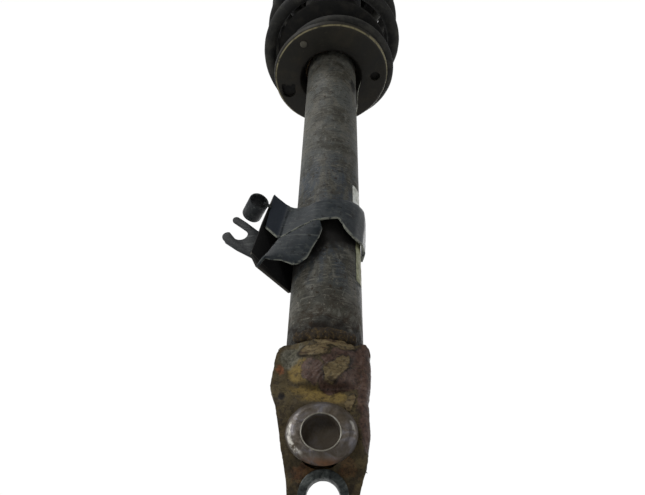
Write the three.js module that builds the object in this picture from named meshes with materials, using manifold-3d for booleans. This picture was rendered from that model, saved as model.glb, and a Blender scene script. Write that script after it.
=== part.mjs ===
// A MacPherson-type coil-over suspension strut, modelled in millimetres.
// +Z runs up the strut axis. The origin is on that axis, just above the centre
// of the lower bolt eye. -Y is the side with the bolt boss, +X is to its right.
import * as THREE from 'three';
import { mergeVertices } from 'three/addons/utils/BufferGeometryUtils.js';
import Module from 'manifold-3d';

const wasm = await Module();
wasm.setup();

// ---------------------------------------------------------------- dimensions
const GAP = 0.3;                       // clearance between neighbouring solids

const TUBE_R = 25.5;                   // outer damper tube
const TUBE_WALL = 2;
const TUBE_BOTTOM = 58;
const TUBE_TOP = 478;

const STROKE = 100;                    // travel to bump-stop contact

const PLATE = 3;                       // pressed steel of the knuckle bracket
const WRAP_R = TUBE_R + GAP + 0.1 + PLATE;
const EYE_X = 1;
const EYE_Z = -1.8;
const EYE_BORE_R = 8.75;
const EYE_FLANGE_R = 13;
const LUG_R = 18.5;
const BOSS_X = -1;
const BOSS_Z = 26.3;                   // where the boss axis meets the plate
const BOSS_R = 19.7;                   // half the width; the outside is a flattened round
const BOSS_FLATTEN = 0.89;
const BOSS_SHIFT = [0.4, 2.1];         // the outside's centre, from the bore's
const BOSS_BORE_R = 10.2;
const BOSS_DEPTH = 6;
const BOSS_BACK = 17.5;                // height of the spigot's end
const BOSS_FACE = 34;                  // height of the boss face, along the boss axis
const BOSS_TILT = THREE.MathUtils.degToRad(11);   // the boss face looks slightly up
const SPIGOT_R = 14.5;
const BOX_DEPTH = 27;                  // front plate at the boss
const LUG_DEPTH = 25;                  // front plate at the lower eye
const WING_DEPTH = 21.5;               // front plate beside the tube
const BRACKET_TOP = 84;

const SEAT_Z = 411;                    // lower spring seat, at the axis
const SEAT_R = 60.7;
const SEAT_X = -0.7;                   // the seat sits slightly to the left
const SEAT_SHEET = 2.5;
const SEAT_TILT = THREE.MathUtils.degToRad(3);
const PAD_THICK = 5;

const WIRE_R = 6.75;                   // coil spring
const SPRING_R = 71.5;
const SPRING_FOOT_R = 49;
const SPRING_HEAD_R = 62;
const SPRING_BOTTOM = SEAT_Z + PAD_THICK + 3;
const SPRING_TOP = 640;
const SPRING_TURNS = 5.25;
const FOOT_TURNS = 0.9;                // tapered first turn on the seat
const HEAD_TURNS = 0.9;

const BOOT_R = 35.5;
const BOOT_BOTTOM = 452;
const BOOT_TOP = 636;
const BOOT_FOLDS = 7;

const ROD_R = 11;
const CYLINDER_R = 17.5;               // inner pressure cylinder
const CYLINDER_WALL = 1.5;
const GUIDE_BOTTOM = 454;
const CAP_TOP = TUBE_TOP + 7;
const BUMP_BOTTOM = CAP_TOP + STROKE + 3;
const BUMP_TOP = 632;

const UPPER_SEAT_Z = 645;              // underside of the upper seat's flat
const UPPER_SEAT_R = 79;
const RACE_Z = 659;                    // underside of the strut bearing
const BALL_COUNT = 12;
const BALL_R = 2.5;
const BALL_CIRCLE_R = 35;
const MOUNT_Z = 676;                   // underside of the top mount
const MOUNT_PLATE_Z = 686;
const MOUNT_PLATE_R = 55;
const STUD_CIRCLE_R = 44;
const STUD_COUNT = 3;
const ROD_SHOULDER = MOUNT_Z - 2;
const ROD_TOP = 722;
const ROD_THREAD_R = 7;

const FINE_ROUND = 30;                 // segments round the tube and its seat
const ROUND = 20;                      // round an ordinary turned piece
const SMALL_ROUND = 12;

// ----------------------------------------------------------------- materials
const finish = (color, roughness, metalness) =>
  new THREE.MeshStandardMaterial({ color, roughness, metalness });
const wornGreyPaint = () => finish(0x54544f, 0.65, 0.3);
const rustedPaint = () => finish(0x5a4630, 0.85, 0.2);
const bareSteel = () => finish(0x7c7a7c, 0.4, 0.9);
const blackSheet = () => finish(0x262b2e, 0.55, 0.4);
const darkPaint = () => finish(0x24241f, 0.7, 0.2);
const springPaint = () => finish(0x2f2f2c, 0.75, 0.2);
const weldSteel = () => finish(0x2c2316, 0.9, 0.4);
const blackRubber = () => finish(0x1c1c1b, 0.85, 0);
const chromeRod = () => finish(0xc8ccd0, 0.12, 1);
const machinedSteel = () => finish(0x8f9296, 0.35, 0.9);
const nylon = () => finish(0x3a3a3c, 0.5, 0);
const urethane = () => finish(0xb9a468, 0.7, 0);
const zincPlate = () => finish(0xa9a79a, 0.35, 0.85);
const blankLabel = () => finish(0xdcdcd4, 0.6, 0);

// ------------------------------------------------------------ geometry tools
// Merges shared vertices, drops collapsed triangles, and turns the faces out.
function closed(geometry) {
  const bare = geometry.clone();
  bare.deleteAttribute('normal');
  bare.deleteAttribute('uv');
  const merged = mergeVertices(bare, 1e-4);
  const p = merged.attributes.position.array;
  const source = merged.index.array;
  const kept = [];
  let volume = 0;
  for (let i = 0; i < source.length; i += 3) {
    const [a, b, c] = [source[i], source[i + 1], source[i + 2]];
    if (a === b || b === c || c === a) continue;
    kept.push(a, b, c);
    const va = new THREE.Vector3(p[3 * a], p[3 * a + 1], p[3 * a + 2]);
    const vb = new THREE.Vector3(p[3 * b], p[3 * b + 1], p[3 * b + 2]);
    const vc = new THREE.Vector3(p[3 * c], p[3 * c + 1], p[3 * c + 2]);
    volume += va.dot(vb.cross(vc));
  }
  if (volume < 0) kept.reverse();
  merged.setIndex(kept);
  return merged;
}

function solid(geometry) {
  const shape = closed(geometry);
  return new wasm.Manifold(new wasm.Mesh({
    numProp: 3,
    vertProperties: new Float32Array(shape.attributes.position.array),
    triVerts: new Uint32Array(shape.index.array),
  }));
}

function fromSolid(body) {
  const mesh = body.getMesh();
  const geometry = new THREE.BufferGeometry();
  geometry.setAttribute('position', new THREE.BufferAttribute(mesh.vertProperties, 3));
  geometry.setIndex(new THREE.BufferAttribute(mesh.triVerts, 1));
  return geometry;
}

// A profile of [radius, height] points turned about the Z axis.
function turned(profile, segments = ROUND) {
  const points = profile.map(([r, z]) => new THREE.Vector2(r, z));
  return new THREE.LatheGeometry(points, segments).rotateX(Math.PI / 2);
}

// A closed ring section, given as corners going once round it.
function ring(corners, segments = ROUND) {
  return turned([...corners, corners[0]], segments);
}

function sleeve(innerR, outerR, bottom, top, segments = ROUND) {
  return ring([[innerR, bottom], [outerR, bottom], [outerR, top], [innerR, top]], segments);
}

function disc(radius, bottom, top, segments = ROUND) {
  return turned([[0, bottom], [radius, bottom], [radius, top], [0, top]], segments);
}

function hexNut(boreR, cornerR, bottom, top) {
  return solid(disc(cornerR, bottom, top, 6))
    .subtract(solid(disc(boreR, bottom - 1, top + 1, SMALL_ROUND)));
}

// A turned shape whose axis points along -Y, its height counted from Y = 0. The
// tilt turns it up about the point where it crosses the plate.
function facingFront(geometry, x, z, tilt = 0) {
  return geometry.rotateX(Math.PI / 2).translate(0, BOX_DEPTH, 0).rotateX(-tilt)
    .translate(x, -BOX_DEPTH, z);
}

// An outline of [x, z] corners, extruded from y = front to y = back.
function frontOutline(corners, front, back) {
  const shape = new THREE.Shape(corners.map(([x, z]) => new THREE.Vector2(x, z)));
  return new THREE.ExtrudeGeometry(shape, { depth: back - front, bevelEnabled: false })
    .rotateX(Math.PI / 2).translate(0, back, 0);
}

function block(xs, ys, zs) {
  return new THREE.BoxGeometry(xs[1] - xs[0], ys[1] - ys[0], zs[1] - zs[0])
    .translate((xs[0] + xs[1]) / 2, (ys[0] + ys[1]) / 2, (zs[0] + zs[1]) / 2);
}

// A grid of points closed into a skin: rows[i][j] are [x, y, z], each row a loop.
function loftedLoops(rows) {
  const count = rows[0].length;
  const positions = rows.flat(2);
  const index = [];
  for (let i = 0; i + 1 < rows.length; i += 1) {
    for (let j = 0; j < count; j += 1) {
      const a = i * count + j;
      const b = i * count + (j + 1) % count;
      index.push(a, b, b + count, a, b + count, a + count);
    }
  }
  for (const [row, turn] of [[0, 1], [rows.length - 1, -1]]) {
    const loop = rows[row].map(([x, y]) => new THREE.Vector2(x, y));
    for (const [a, b, c] of THREE.ShapeUtils.triangulateShape(loop, [])) {
      const corners = turn * (THREE.ShapeUtils.isClockWise(loop) ? -1 : 1) < 0
        ? [a, b, c] : [a, c, b];
      index.push(...corners.map((corner) => row * count + corner));
    }
  }
  const geometry = new THREE.BufferGeometry();
  geometry.setAttribute('position', new THREE.Float32BufferAttribute(positions, 3));
  geometry.setIndex(index);
  return geometry;
}

// Linear reading of a table of [position, value] knots.
function interpolate(knots, at) {
  if (at <= knots[0][0]) return knots[0][1];
  for (let i = 1; i < knots.length; i += 1) {
    if (at <= knots[i][0]) {
      const t = (at - knots[i - 1][0]) / (knots[i][0] - knots[i - 1][0]);
      return THREE.MathUtils.lerp(knots[i - 1][1], knots[i][1], t);
    }
  }
  return knots[knots.length - 1][1];
}

const strut = new THREE.Group();

function add(name, shape, material, parent = strut) {
  const geometry = shape.isBufferGeometry ? closed(shape) : fromSolid(shape);
  const mesh = new THREE.Mesh(geometry, material);
  mesh.name = name;
  parent.add(mesh);
  return mesh;
}

// ----------------------------------------------------------- knuckle bracket
// Front plate: how far its face stands in front of the axis at each height.
const plateDepth = (z) => interpolate(
  [[12.5, LUG_DEPTH], [17, BOX_DEPTH], [46, BOX_DEPTH], [58, WING_DEPTH]], z);
const bulgeDepth = (x, z) => {
  const rise = interpolate([[46, 0], [57, 1]], z);
  const round = Math.sqrt(Math.max(WRAP_R ** 2 - x ** 2, 0));
  return rise * round;
};
const frontFace = (x, z) => -Math.max(plateDepth(z), bulgeDepth(x, z));
// Right-hand edge, where the plate turns back round the tube.
const rightSide = (z) => interpolate(
  [[0, 21], [12, 23.5], [28, 26.4], [40, 26.6], [52, 26.6], [60, WRAP_R], [90, WRAP_R]], z);
const wallEnd = (z) => interpolate([[13, -18], [30, -14], [46, -6], [58, 4], [90, 4]], z);
const rearFace = (z) => interpolate(
  [[11, -LUG_DEPTH + 2 * PLATE + GAP], [20, -7], [34, 4], [50, 22], [58, WRAP_R]], z);
const CORNER_R = 6;
const BRACKET_ROWS = [-24, 12.5, 17, 28, 40, 46, 52, 58, 92];

const bracketOutline = () => {
  const corners = [
    [-29, BRACKET_TOP - 5], [-31.6, 57], [-27.5, 45], [-22.8, 24], [-17.4, 1],
  ];
  const start = Math.PI;
  const sweep = Math.PI;
  for (let i = 1; i < 12; i += 1) {
    const angle = start + sweep * i / 12;
    corners.push([EYE_X + LUG_R * Math.cos(angle), EYE_Z + LUG_R * Math.sin(angle)]);
  }
  corners.push([19.6, 1], [22.6, 10], [40, 10], [40, 78], [29.2, 79], [27.8, 84.5], [25.5, 86.5],
    [20.5, BRACKET_TOP],
    [-16, BRACKET_TOP], [-26, BRACKET_TOP - 2.5]);
  return corners;
};

const tubeClearance = () => solid(disc(TUBE_R + GAP, TUBE_BOTTOM - 1, 200, FINE_ROUND));

function frontShellSection(z) {
  const right = rightSide(z);
  const outer = [];
  const start = -(plateDepth(z) - CORNER_R);
  const end = Math.max(wallEnd(z), start + 1);
  for (let i = 0; i <= 3; i += 1) outer.push([right, THREE.MathUtils.lerp(end, start, i / 3)]);
  for (let i = 1; i <= 5; i += 1) {
    const angle = (Math.PI / 2) * i / 5;
    outer.push([right - CORNER_R + CORNER_R * Math.cos(angle), start - CORNER_R * Math.sin(angle)]);
  }
  const from = right - CORNER_R;
  for (let i = 1; i <= 15; i += 1) {
    const x = THREE.MathUtils.lerp(from, -34, i / 15);
    outer.push([x, frontFace(x, z)]);
  }
  const inner = outer.map(([x, y], i) => {
    const [px, py] = outer[Math.max(i - 1, 0)];
    const [nx, ny] = outer[Math.min(i + 1, outer.length - 1)];
    const length = Math.hypot(nx - px, ny - py);
    return [x + PLATE * (ny - py) / length, y - PLATE * (nx - px) / length];
  });
  return [...outer, ...inner.reverse()].map(([x, y]) => [x, y, z]);
}

function frontShell() {
  const sheet = solid(loftedLoops(BRACKET_ROWS.map(frontShellSection)));
  const outline = solid(frontOutline(bracketOutline(), -60, 60));
  const bossHole = solid(facingFront(disc(SPIGOT_R + 0.4, 10, 50), BOSS_X, BOSS_Z, BOSS_TILT));
  const eyeHole = solid(facingFront(disc(11, -60, 60), EYE_X, EYE_Z));
  return sheet.intersect(outline).subtract(bossHole).subtract(eyeHole).subtract(tubeClearance());
}

// A loop of the box-section that closes the bracket from behind.
function rearLoop(z, inset) {
  const back = rearFace(z) - inset;
  const left = -interpolate([[11, 25], [16, 21], [25, 22], [45, 26], [58, WRAP_R]], z) + inset;
  const right = interpolate([[11, 25], [16, 23], [28, 26], [52, 26.3], [60, WRAP_R]], z) - inset;
  const radius = Math.max(interpolate([[16, 6], [40, 9], [58, WRAP_R]], z) - inset, 1);
  const rx = Math.min(radius, (right - left) / 2);
  const points = [[left, -50], [left, back - radius]];
  for (let i = 1; i <= 8; i += 1) {
    const angle = Math.PI - (Math.PI / 2) * i / 8;
    points.push([left + rx + rx * Math.cos(angle), back - radius + radius * Math.sin(angle)]);
  }
  for (let i = 0; i < 8; i += 1) {
    const angle = Math.PI / 2 - (Math.PI / 2) * i / 8;
    points.push([right - rx + rx * Math.cos(angle) + 1e-3, back - radius + radius * Math.sin(angle)]);
  }
  points.push([right, back - radius], [right, -50]);
  return points.map(([x, y]) => [x, y, z]);
}

function rearShell() {
  const rows = [-24, 11, 16, 20, 34, 50, 58, 92];
  const outer = solid(loftedLoops(rows.map((z) => rearLoop(z, 0))));
  const hollow = solid(loftedLoops(rows.map((z) => rearLoop(z, PLATE))));
  const frontRows = BRACKET_ROWS.map((z) => {
    const points = [];
    for (let i = 0; i <= 12; i += 1) {
      const x = THREE.MathUtils.lerp(-36, 36, i / 12);
      points.push([x, frontFace(x, z) + PLATE + GAP + 0.05, z]);
    }
    points.push([36, -70, z], [-36, -70, z]);
    return points;
  });
  const frontVolume = solid(loftedLoops(frontRows));
  const wallRows = BRACKET_ROWS.map((z) => {
    const end = Math.max(wallEnd(z), -(plateDepth(z) - CORNER_R) + 1) + GAP + 0.2;
    const inner = rightSide(z) - PLATE - 3;
    return [[inner, -60, z], [40, -60, z], [40, end, z], [inner, end, z]];
  });
  const wallVolume = solid(loftedLoops(wallRows));
  const outline = solid(frontOutline([
    [-40, 82], [-40, 16], [-20.5, 16], [-17.4, 1],
    ...Array.from({ length: 11 }, (_, i) => {
      const angle = Math.PI + Math.PI * (i + 1) / 12;
      return [EYE_X + LUG_R * Math.cos(angle), EYE_Z + LUG_R * Math.sin(angle)];
    }),
    [19.6, 1], [22.6, 10], [40, 10], [40, 82]], -60, 60));
  const eyeHole = solid(facingFront(disc(11, -60, 60), EYE_X, EYE_Z));
  const spigot = solid(facingFront(
    disc(SPIGOT_R + 0.4, BOSS_BACK - GAP, 60), BOSS_X, BOSS_Z, BOSS_TILT));
  return outer.subtract(hollow).subtract(frontVolume).subtract(wallVolume)
    .subtract(tubeClearance()).subtract(spigot).intersect(outline).subtract(eyeHole);
}

// The boss has a domed shoulder and a blind bore. It stands on the plate at a
// slight angle, with a spigot through it.
function bossRing() {
  const onBoss = (geometry) => solid(facingFront(geometry, BOSS_X, BOSS_Z, BOSS_TILT));
  const shoulder = [];
  for (let i = 0; i <= 5; i += 1) {
    const angle = (Math.PI / 2) * i / 5;
    shoulder.push([BOSS_R - 5.5 + 5.5 * Math.cos(angle), BOSS_FACE - 5 + 5 * Math.sin(angle)]);
  }
  const outside = onBoss(turned([[0, BOSS_BACK], [BOSS_R, BOSS_BACK], ...shoulder, [0, BOSS_FACE]])
    .scale(1, BOSS_FLATTEN, 1).translate(...BOSS_SHIFT, 0));
  const bore = onBoss(turned([[0, BOSS_FACE - BOSS_DEPTH], [BOSS_BORE_R, BOSS_FACE - BOSS_DEPTH],
    [BOSS_BORE_R, BOSS_FACE - 0.6], [BOSS_BORE_R + 0.6, BOSS_FACE], [BOSS_BORE_R + 0.6, BOSS_FACE + 1],
    [0, BOSS_FACE + 1]]));
  const spigot = onBoss(disc(SPIGOT_R, 0, 50));
  const inFront = solid(block([-30, 30], [-60, -BOX_DEPTH - GAP], [-10, 60]));
  return outside.intersect(inFront.add(spigot)).subtract(bore);
}

function eyeBush() {
  const back = LUG_DEPTH - 2 * PLATE - GAP - 0.2;
  return facingFront(ring([
    [EYE_BORE_R, back], [EYE_BORE_R + 1.9, back], [EYE_BORE_R + 1.9, LUG_DEPTH + GAP],
    [EYE_FLANGE_R, LUG_DEPTH + GAP], [EYE_FLANGE_R, LUG_DEPTH + 1.3], [EYE_BORE_R, LUG_DEPTH + 1.3],
  ]), EYE_X, EYE_Z);
}

function weldBead() {
  const base = BRACKET_TOP + 0.5;
  const bead = solid(ring([
    [TUBE_R + GAP, base], [WRAP_R + 1, base], [WRAP_R + 0.8, base + 3],
    [TUBE_R + 2.8, base + 6.5], [TUBE_R + GAP, base + 8.5],
  ]));
  return bead.intersect(solid(block([-19.8, 19.8], [-40, -12], [base - 5, base + 20])));
}

add('outer_tube', sleeve(TUBE_R - TUBE_WALL, TUBE_R, TUBE_BOTTOM, TUBE_TOP, FINE_ROUND), wornGreyPaint());
add('bracket_front_shell', frontShell(), rustedPaint());
add('bracket_rear_shell', rearShell(), rustedPaint());
add('boss_ring', bossRing(), bareSteel());
add('lower_eye_bush', eyeBush(), bareSteel());
add('bracket_weld_bead', weldBead(), weldSteel());

// -------------------------------------------------------------- hose bracket
const SHEET = 1.8;
const SHEET_BULGE = 2.2;
// The sheet that hugs the tube: its upper edge, and its lower edge standing off it,
// from the fold on the left round to the right side.
const SHEET_TOP = [[-30.2, -20, 202.2], [-25.7, -20.6, 199.8], [-17, -21.8, 200], [-9, -26, 201.5],
  [0, -27.4, 203], [8.5, -26, 205.3], [17.5, -21.2, 207.5], [22.5, -15.4, 209.5], [26.3, -7.2, 212.5],
  [27.2, 0, 216], [25.8, 8.8, 218]];
const SHEET_LOW = [[-34.4, -29, 162], [-28.5, -29.8, 166.2], [-19, -30.8, 173], [-9.5, -31.5, 178.4],
  [-1, -31.6, 180.6], [7.6, -31, 182], [13.3, -29, 172.2], [18.6, -25.5, 168], [24.7, -17, 169],
  [28.1, -4, 171], [26.9, 8.5, 172]];
const flangeTip = [-43.9, -14, 220.6];
const flangeLow = [-45.6, -24, 176.7];
const wallEdge = [-49, -22, 183.3];
const wallLow = [-53.9, -24, 152.6];
const edgeTip = [-48, -27, 139.7];

// Folded sheet: each facet is cut into triangles, each the hull of three small balls,
// so that facets meet in rounded folds.
function foldedSheet(facets, thickness) {
  const ball = wasm.Manifold.sphere(thickness / 2, 8);
  const triangles = facets.flatMap((corners) =>
    corners.slice(2).map((corner, i) => [corners[0], corners[i + 1], corner]));
  return triangles
    .map((corners) => wasm.Manifold.hull(corners.map((corner) => ball.translate(corner))))
    .reduce((joined, piece) => joined.add(piece));
}

// A curved sheet through a grid of points, thickened evenly to both sides.
function thickSheet(rows, thickness) {
  const at = (i, j) => new THREE.Vector3(...rows[i][j]);
  const last = [rows.length - 1, rows[0].length - 1];
  const sides = [0.5, -0.5].map((side) => rows.map((row, i) => row.map((point, j) => {
    const down = at(Math.min(i + 1, last[0]), j).sub(at(Math.max(i - 1, 0), j));
    const along = at(i, Math.min(j + 1, last[1])).sub(at(i, Math.max(j - 1, 0)));
    return at(i, j).addScaledVector(down.cross(along).normalize(), side * thickness).toArray();
  })));
  const loops = rows[0].map((_, j) => [
    ...sides[0].map((row) => row[j]), ...sides[1].map((row) => row[j]).reverse()]);
  const count = loops[0].length;
  const geometry = new THREE.BufferGeometry();
  geometry.setAttribute('position', new THREE.Float32BufferAttribute(loops.flat(2), 3));
  const index = [];
  for (let j = 0; j + 1 < loops.length; j += 1) {
    for (let i = 0; i < count; i += 1) {
      const [a, b] = [j * count + i, j * count + (i + 1) % count];
      index.push(a, b, b + count, a, b + count, a + count);
    }
  }
  for (const [loop, turn] of [[0, true], [loops.length - 1, false]]) {
    for (let i = 0; i + 1 < rows.length; i += 1) {
      const [a, b] = [loop * count + i, loop * count + i + 1];
      const [c, d] = [loop * count + count - 1 - i, loop * count + count - 2 - i];
      index.push(...(turn ? [a, c, b, b, c, d] : [a, b, c, b, d, c]));
    }
  }
  geometry.setIndex(index);
  return solid(geometry);
}

function hugSheet() {
  const levels = [0, 0.12, 0.27, 0.5, 0.75, 1];
  return thickSheet(levels.map((v) => SHEET_TOP.map((top, j) => {
    const low = SHEET_LOW[j];
    const [x, y, z] = top.map((value, k) => THREE.MathUtils.lerp(value, low[k], v));
    const swell = interpolate([[1, 0], [3, 0.4], [6, 0.5], [8, 1], [10, 0.8]], j);
    const push = SHEET_BULGE * swell * Math.sin(Math.PI * Math.sqrt(v));
    const radius = Math.hypot(x, y);
    const grown = Math.max(radius + push, TUBE_R + GAP + SHEET / 2) / radius;
    return [x * grown, y * grown, z];
  })), SHEET);
}

function hoseBracket() {
  const [foldTop, foldLow, rimLow] = [SHEET_TOP[0], SHEET_LOW[0], SHEET_LOW[3]];
  const flange = [foldTop, flangeTip, wallEdge, flangeLow, foldLow];
  const wall = [flangeTip, [-30, 3, 205], [-28.4, 2, 141], edgeTip, wallLow, wallEdge];
  const leaf = [rimLow, foldLow, edgeTip, [-42.9, -28, 147.7], [-38.7, -28, 145.4],
    [-30.7, -28.5, 144.5], [-24.1, -28.5, 141.2], [-19.8, -28.5, 141.5], [-13.7, -29, 146.6],
    [-10.6, -30, 154.7], [-6, -30.6, 164.8], [-4.8, -31, 171]];
  const sheet = hugSheet().add(foldedSheet([flange, wall, leaf], SHEET + 0.3))
    .subtract(solid(disc(TUBE_R + GAP, 100, 250, FINE_ROUND))).simplify(0.03);
  // The folds can close on slivers of air: only the outer skin is kept.
  return sheet.decompose().sort((a, b) => b.volume() - a.volume())[0];
}

// The bracket with clearance round it, for the pieces that come up against it.
function bracketClearance() {
  const sheet = hoseBracket();
  return [[0, -GAP, 0], [0, GAP, 0], [-GAP, 0, 0], [GAP, 0, 0], [0, 0, GAP], [0, 0, -GAP]]
    .map((shift) => sheet.translate(shift)).reduce((joined, piece) => joined.add(piece), sheet);
}

// A flat hook whose round-ended slot opens up and outwards.
function hoseHook() {
  const slotCentre = [-67.2, 183.7];
  const slotR = 5.7;
  const direction = [-0.8, 0.6];
  const across = [0.6, 0.8];
  const slot = [];
  for (let i = 0; i <= 10; i += 1) {
    const angle = Math.atan2(across[1], across[0]) - Math.PI * i / 10;
    slot.push([slotCentre[0] + slotR * Math.cos(angle), slotCentre[1] + slotR * Math.sin(angle)]);
  }
  for (const side of [-1, 1]) {
    slot.push([slotCentre[0] + 30 * direction[0] + side * slotR * across[0],
      slotCentre[1] + 30 * direction[1] + side * slotR * across[1]]);
  }
  const plate = solid(frontOutline([[-75, 196], [-75, 200], [-73.2, 202.2], [-70, 201.2],
    [-63.7, 196], [-54, 187.4], [-45, 182], [-43, 158], [-51.7, 158.5], [-56.6, 162],
    [-68, 168.5], [-78, 176], [-80.8, 180], [-80.4, 184], [-77.6, 186]], -8.5, -6));
  return plate.subtract(solid(frontOutline(slot, -20, 10))).subtract(bracketClearance());
}

function cableRing() {
  const tube = sleeve(6.4, 7.8, 0, 17.5, 16).rotateX(-Math.PI / 2).rotateZ(0.44);
  return solid(tube.translate(-53.2, -24, 204.1)).subtract(bracketClearance());
}

add('hose_bracket', hoseBracket(), blackSheet());
add('hose_hook', hoseHook(), blackSheet());
add('cable_ring', cableRing(), blackSheet());

// --------------------------------------------------------- lower spring seat
const tilted = new THREE.Group();
tilted.position.set(SEAT_X, 0, SEAT_Z);
tilted.rotation.set(SEAT_TILT * 0.6, -SEAT_TILT, 0);
strut.add(tilted);

function lowerSeat() {
  const hubR = TUBE_R + 1.6;
  let pan = solid(ring([
    [hubR, 15], [hubR, 11], [33, 0], [SEAT_R - 3, 0], [SEAT_R - 0.7, 2], [SEAT_R, 6.5],
    [SEAT_R - 1.8, 6.5], [SEAT_R - 3.2, SEAT_SHEET + 1.4], [SEAT_R - 4.4, SEAT_SHEET],
    [34.2, SEAT_SHEET], [hubR + 2.6, 13], [hubR + 2.4, 15],
  ], FINE_ROUND));
  const drain = solid(disc(7.3, -5, 8, SMALL_ROUND).translate(-45.6, 15, 0));
  const small = solid(disc(3.6, -5, 8, SMALL_ROUND).translate(47, -3, 0));
  const rivet = solid(disc(3.9, -5, 8, SMALL_ROUND).translate(-28.4, -40.3, 0));
  pan = pan.subtract(drain).subtract(small).subtract(rivet);
  return pan.subtract(solid(block([-53, -49.5], [5, 9.6], [-5, 8])))
    .subtract(solid(block([-43, -39.5], [5, 9.6], [-5, 8])));
}

function seatRivet() {
  return ring([[0.6, -1.6], [2.6, -1.5], [3.5, -0.4], [3.5, SEAT_SHEET], [0.6, SEAT_SHEET]],
    SMALL_ROUND).translate(-28.4, -40.3, 0);
}

// Rubber pad under the spring, with a collar that centres it.
function lowerPad() {
  return ring([[34.6, 3], [SEAT_R - 4.9, 3], [SEAT_R - 4.9, 3 + PAD_THICK - 2],
    [41, 3 + PAD_THICK - 2], [38.5, 22], [34.6, 22]]);
}

add('lower_spring_seat', lowerSeat(), darkPaint(), tilted);
add('seat_rivet', seatRivet(), bareSteel(), tilted);
add('lower_spring_pad', lowerPad(), blackRubber(), tilted);
add('seat_weld_bead', ring([[TUBE_R + GAP, SEAT_Z + 17], [TUBE_R + 3.4, SEAT_Z + 17],
  [TUBE_R + 2.6, SEAT_Z + 19], [TUBE_R + GAP, SEAT_Z + 20.5]]), weldSteel());

// ----------------------------------------------------- coil spring and boot
class SpringPath extends THREE.Curve {
  getPoint(t) {
    const turn = t * SPRING_TURNS;
    const fromTop = SPRING_TURNS - turn;
    const foot = THREE.MathUtils.smoothstep(turn, 0, FOOT_TURNS);
    const head = THREE.MathUtils.smoothstep(fromTop, 0, HEAD_TURNS);
    const r = Math.min(THREE.MathUtils.lerp(SPRING_FOOT_R, SPRING_R, foot),
      THREE.MathUtils.lerp(SPRING_HEAD_R, SPRING_R, head));
    const climb = interpolate([[0, 0], [0.5, 0.02], [0.9, 0.12], [SPRING_TURNS - 0.8, 0.96],
      [SPRING_TURNS - 0.4, 0.995], [SPRING_TURNS, 1]], turn);
    const low = SPRING_BOTTOM + WIRE_R + 3;
    const high = SPRING_TOP - WIRE_R;
    const angle = 2 * Math.PI * turn + Math.PI;
    return new THREE.Vector3(r * Math.cos(angle), r * Math.sin(angle),
      THREE.MathUtils.lerp(low, high, climb));
  }
}

function coilSpring() {
  const section = new THREE.Shape();
  const sides = 8;
  for (let i = 0; i < sides; i += 1) {
    const angle = 2 * Math.PI * i / sides;
    const [x, y] = [WIRE_R * Math.cos(angle), WIRE_R * Math.sin(angle)];
    if (i === 0) section.moveTo(x, y);
    else section.lineTo(x, y);
  }
  return new THREE.ExtrudeGeometry(section,
    { steps: 84, bevelEnabled: false, extrudePath: new SpringPath() });
}

function dustBoot() {
  const wall = 1.4;
  const cuff = 20;
  const outer = [[BOOT_R, BOOT_BOTTOM], [BOOT_R, BOOT_BOTTOM + cuff]];
  const folds = BOOT_TOP - 6 - BOOT_BOTTOM - cuff;
  for (let i = 0; i < BOOT_FOLDS; i += 1) {
    const base = BOOT_BOTTOM + cuff + folds * (i + 0.25) / BOOT_FOLDS;
    outer.push([BOOT_R - 4, base + folds * 0.15 / BOOT_FOLDS],
      [BOOT_R, base + folds * 0.65 / BOOT_FOLDS]);
  }
  outer.push([BOOT_R - 3, BOOT_TOP]);
  const inner = outer.map(([r, z]) => [r - wall, z]).reverse();
  return ring([...outer, ...inner], ROUND);
}

add('coil_spring', coilSpring(), springPaint());
add('dust_boot', dustBoot(), blackRubber());

// ---------------------------------------------------------- damper internals
add('base_cap', turned([[0, TUBE_BOTTOM + 2], [TUBE_R - TUBE_WALL - GAP, TUBE_BOTTOM + 2],
  [TUBE_R - TUBE_WALL - GAP, TUBE_BOTTOM + 14], [TUBE_R - TUBE_WALL - 3, TUBE_BOTTOM + 14],
  [TUBE_R - TUBE_WALL - 4, TUBE_BOTTOM + 5], [0, TUBE_BOTTOM + 5]]), machinedSteel());
add('foot_valve', ring([[2, TUBE_BOTTOM + 6], [14, TUBE_BOTTOM + 6], [15.5, TUBE_BOTTOM + 10],
  [15.5, TUBE_BOTTOM + 18], [8, TUBE_BOTTOM + 18], [8, TUBE_BOTTOM + 22], [2, TUBE_BOTTOM + 22]],
SMALL_ROUND), machinedSteel());
add('inner_cylinder', sleeve(CYLINDER_R - CYLINDER_WALL, CYLINDER_R, TUBE_BOTTOM + 10,
  GUIDE_BOTTOM + 6), machinedSteel());
add('rod_guide', ring([[ROD_R + GAP, GUIDE_BOTTOM], [15.6, GUIDE_BOTTOM], [15.6, GUIDE_BOTTOM + 6.4],
  [TUBE_R - TUBE_WALL - GAP, GUIDE_BOTTOM + 6.4], [TUBE_R - TUBE_WALL - GAP, GUIDE_BOTTOM + 15],
  [16, GUIDE_BOTTOM + 15], [16, GUIDE_BOTTOM + 13], [ROD_R + GAP, GUIDE_BOTTOM + 13]]),
machinedSteel());
add('rod_seal', ring([[ROD_R + GAP, GUIDE_BOTTOM + 15.4], [TUBE_R - TUBE_WALL - GAP, GUIDE_BOTTOM + 15.4],
  [TUBE_R - TUBE_WALL - GAP, TUBE_TOP - 4], [14, TUBE_TOP - 4], [ROD_R + GAP, TUBE_TOP - 5]]),
blackRubber());
add('gland_cap', ring([[ROD_R + 1.2, TUBE_TOP + 0.4], [TUBE_R + GAP, TUBE_TOP + 0.4],
  [TUBE_R + GAP, TUBE_TOP - 12], [TUBE_R + 2.3, TUBE_TOP - 12], [TUBE_R + 2.3, CAP_TOP - 2],
  [TUBE_R + 0.6, CAP_TOP], [ROD_R + 1.2, CAP_TOP]]), zincPlate());

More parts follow.
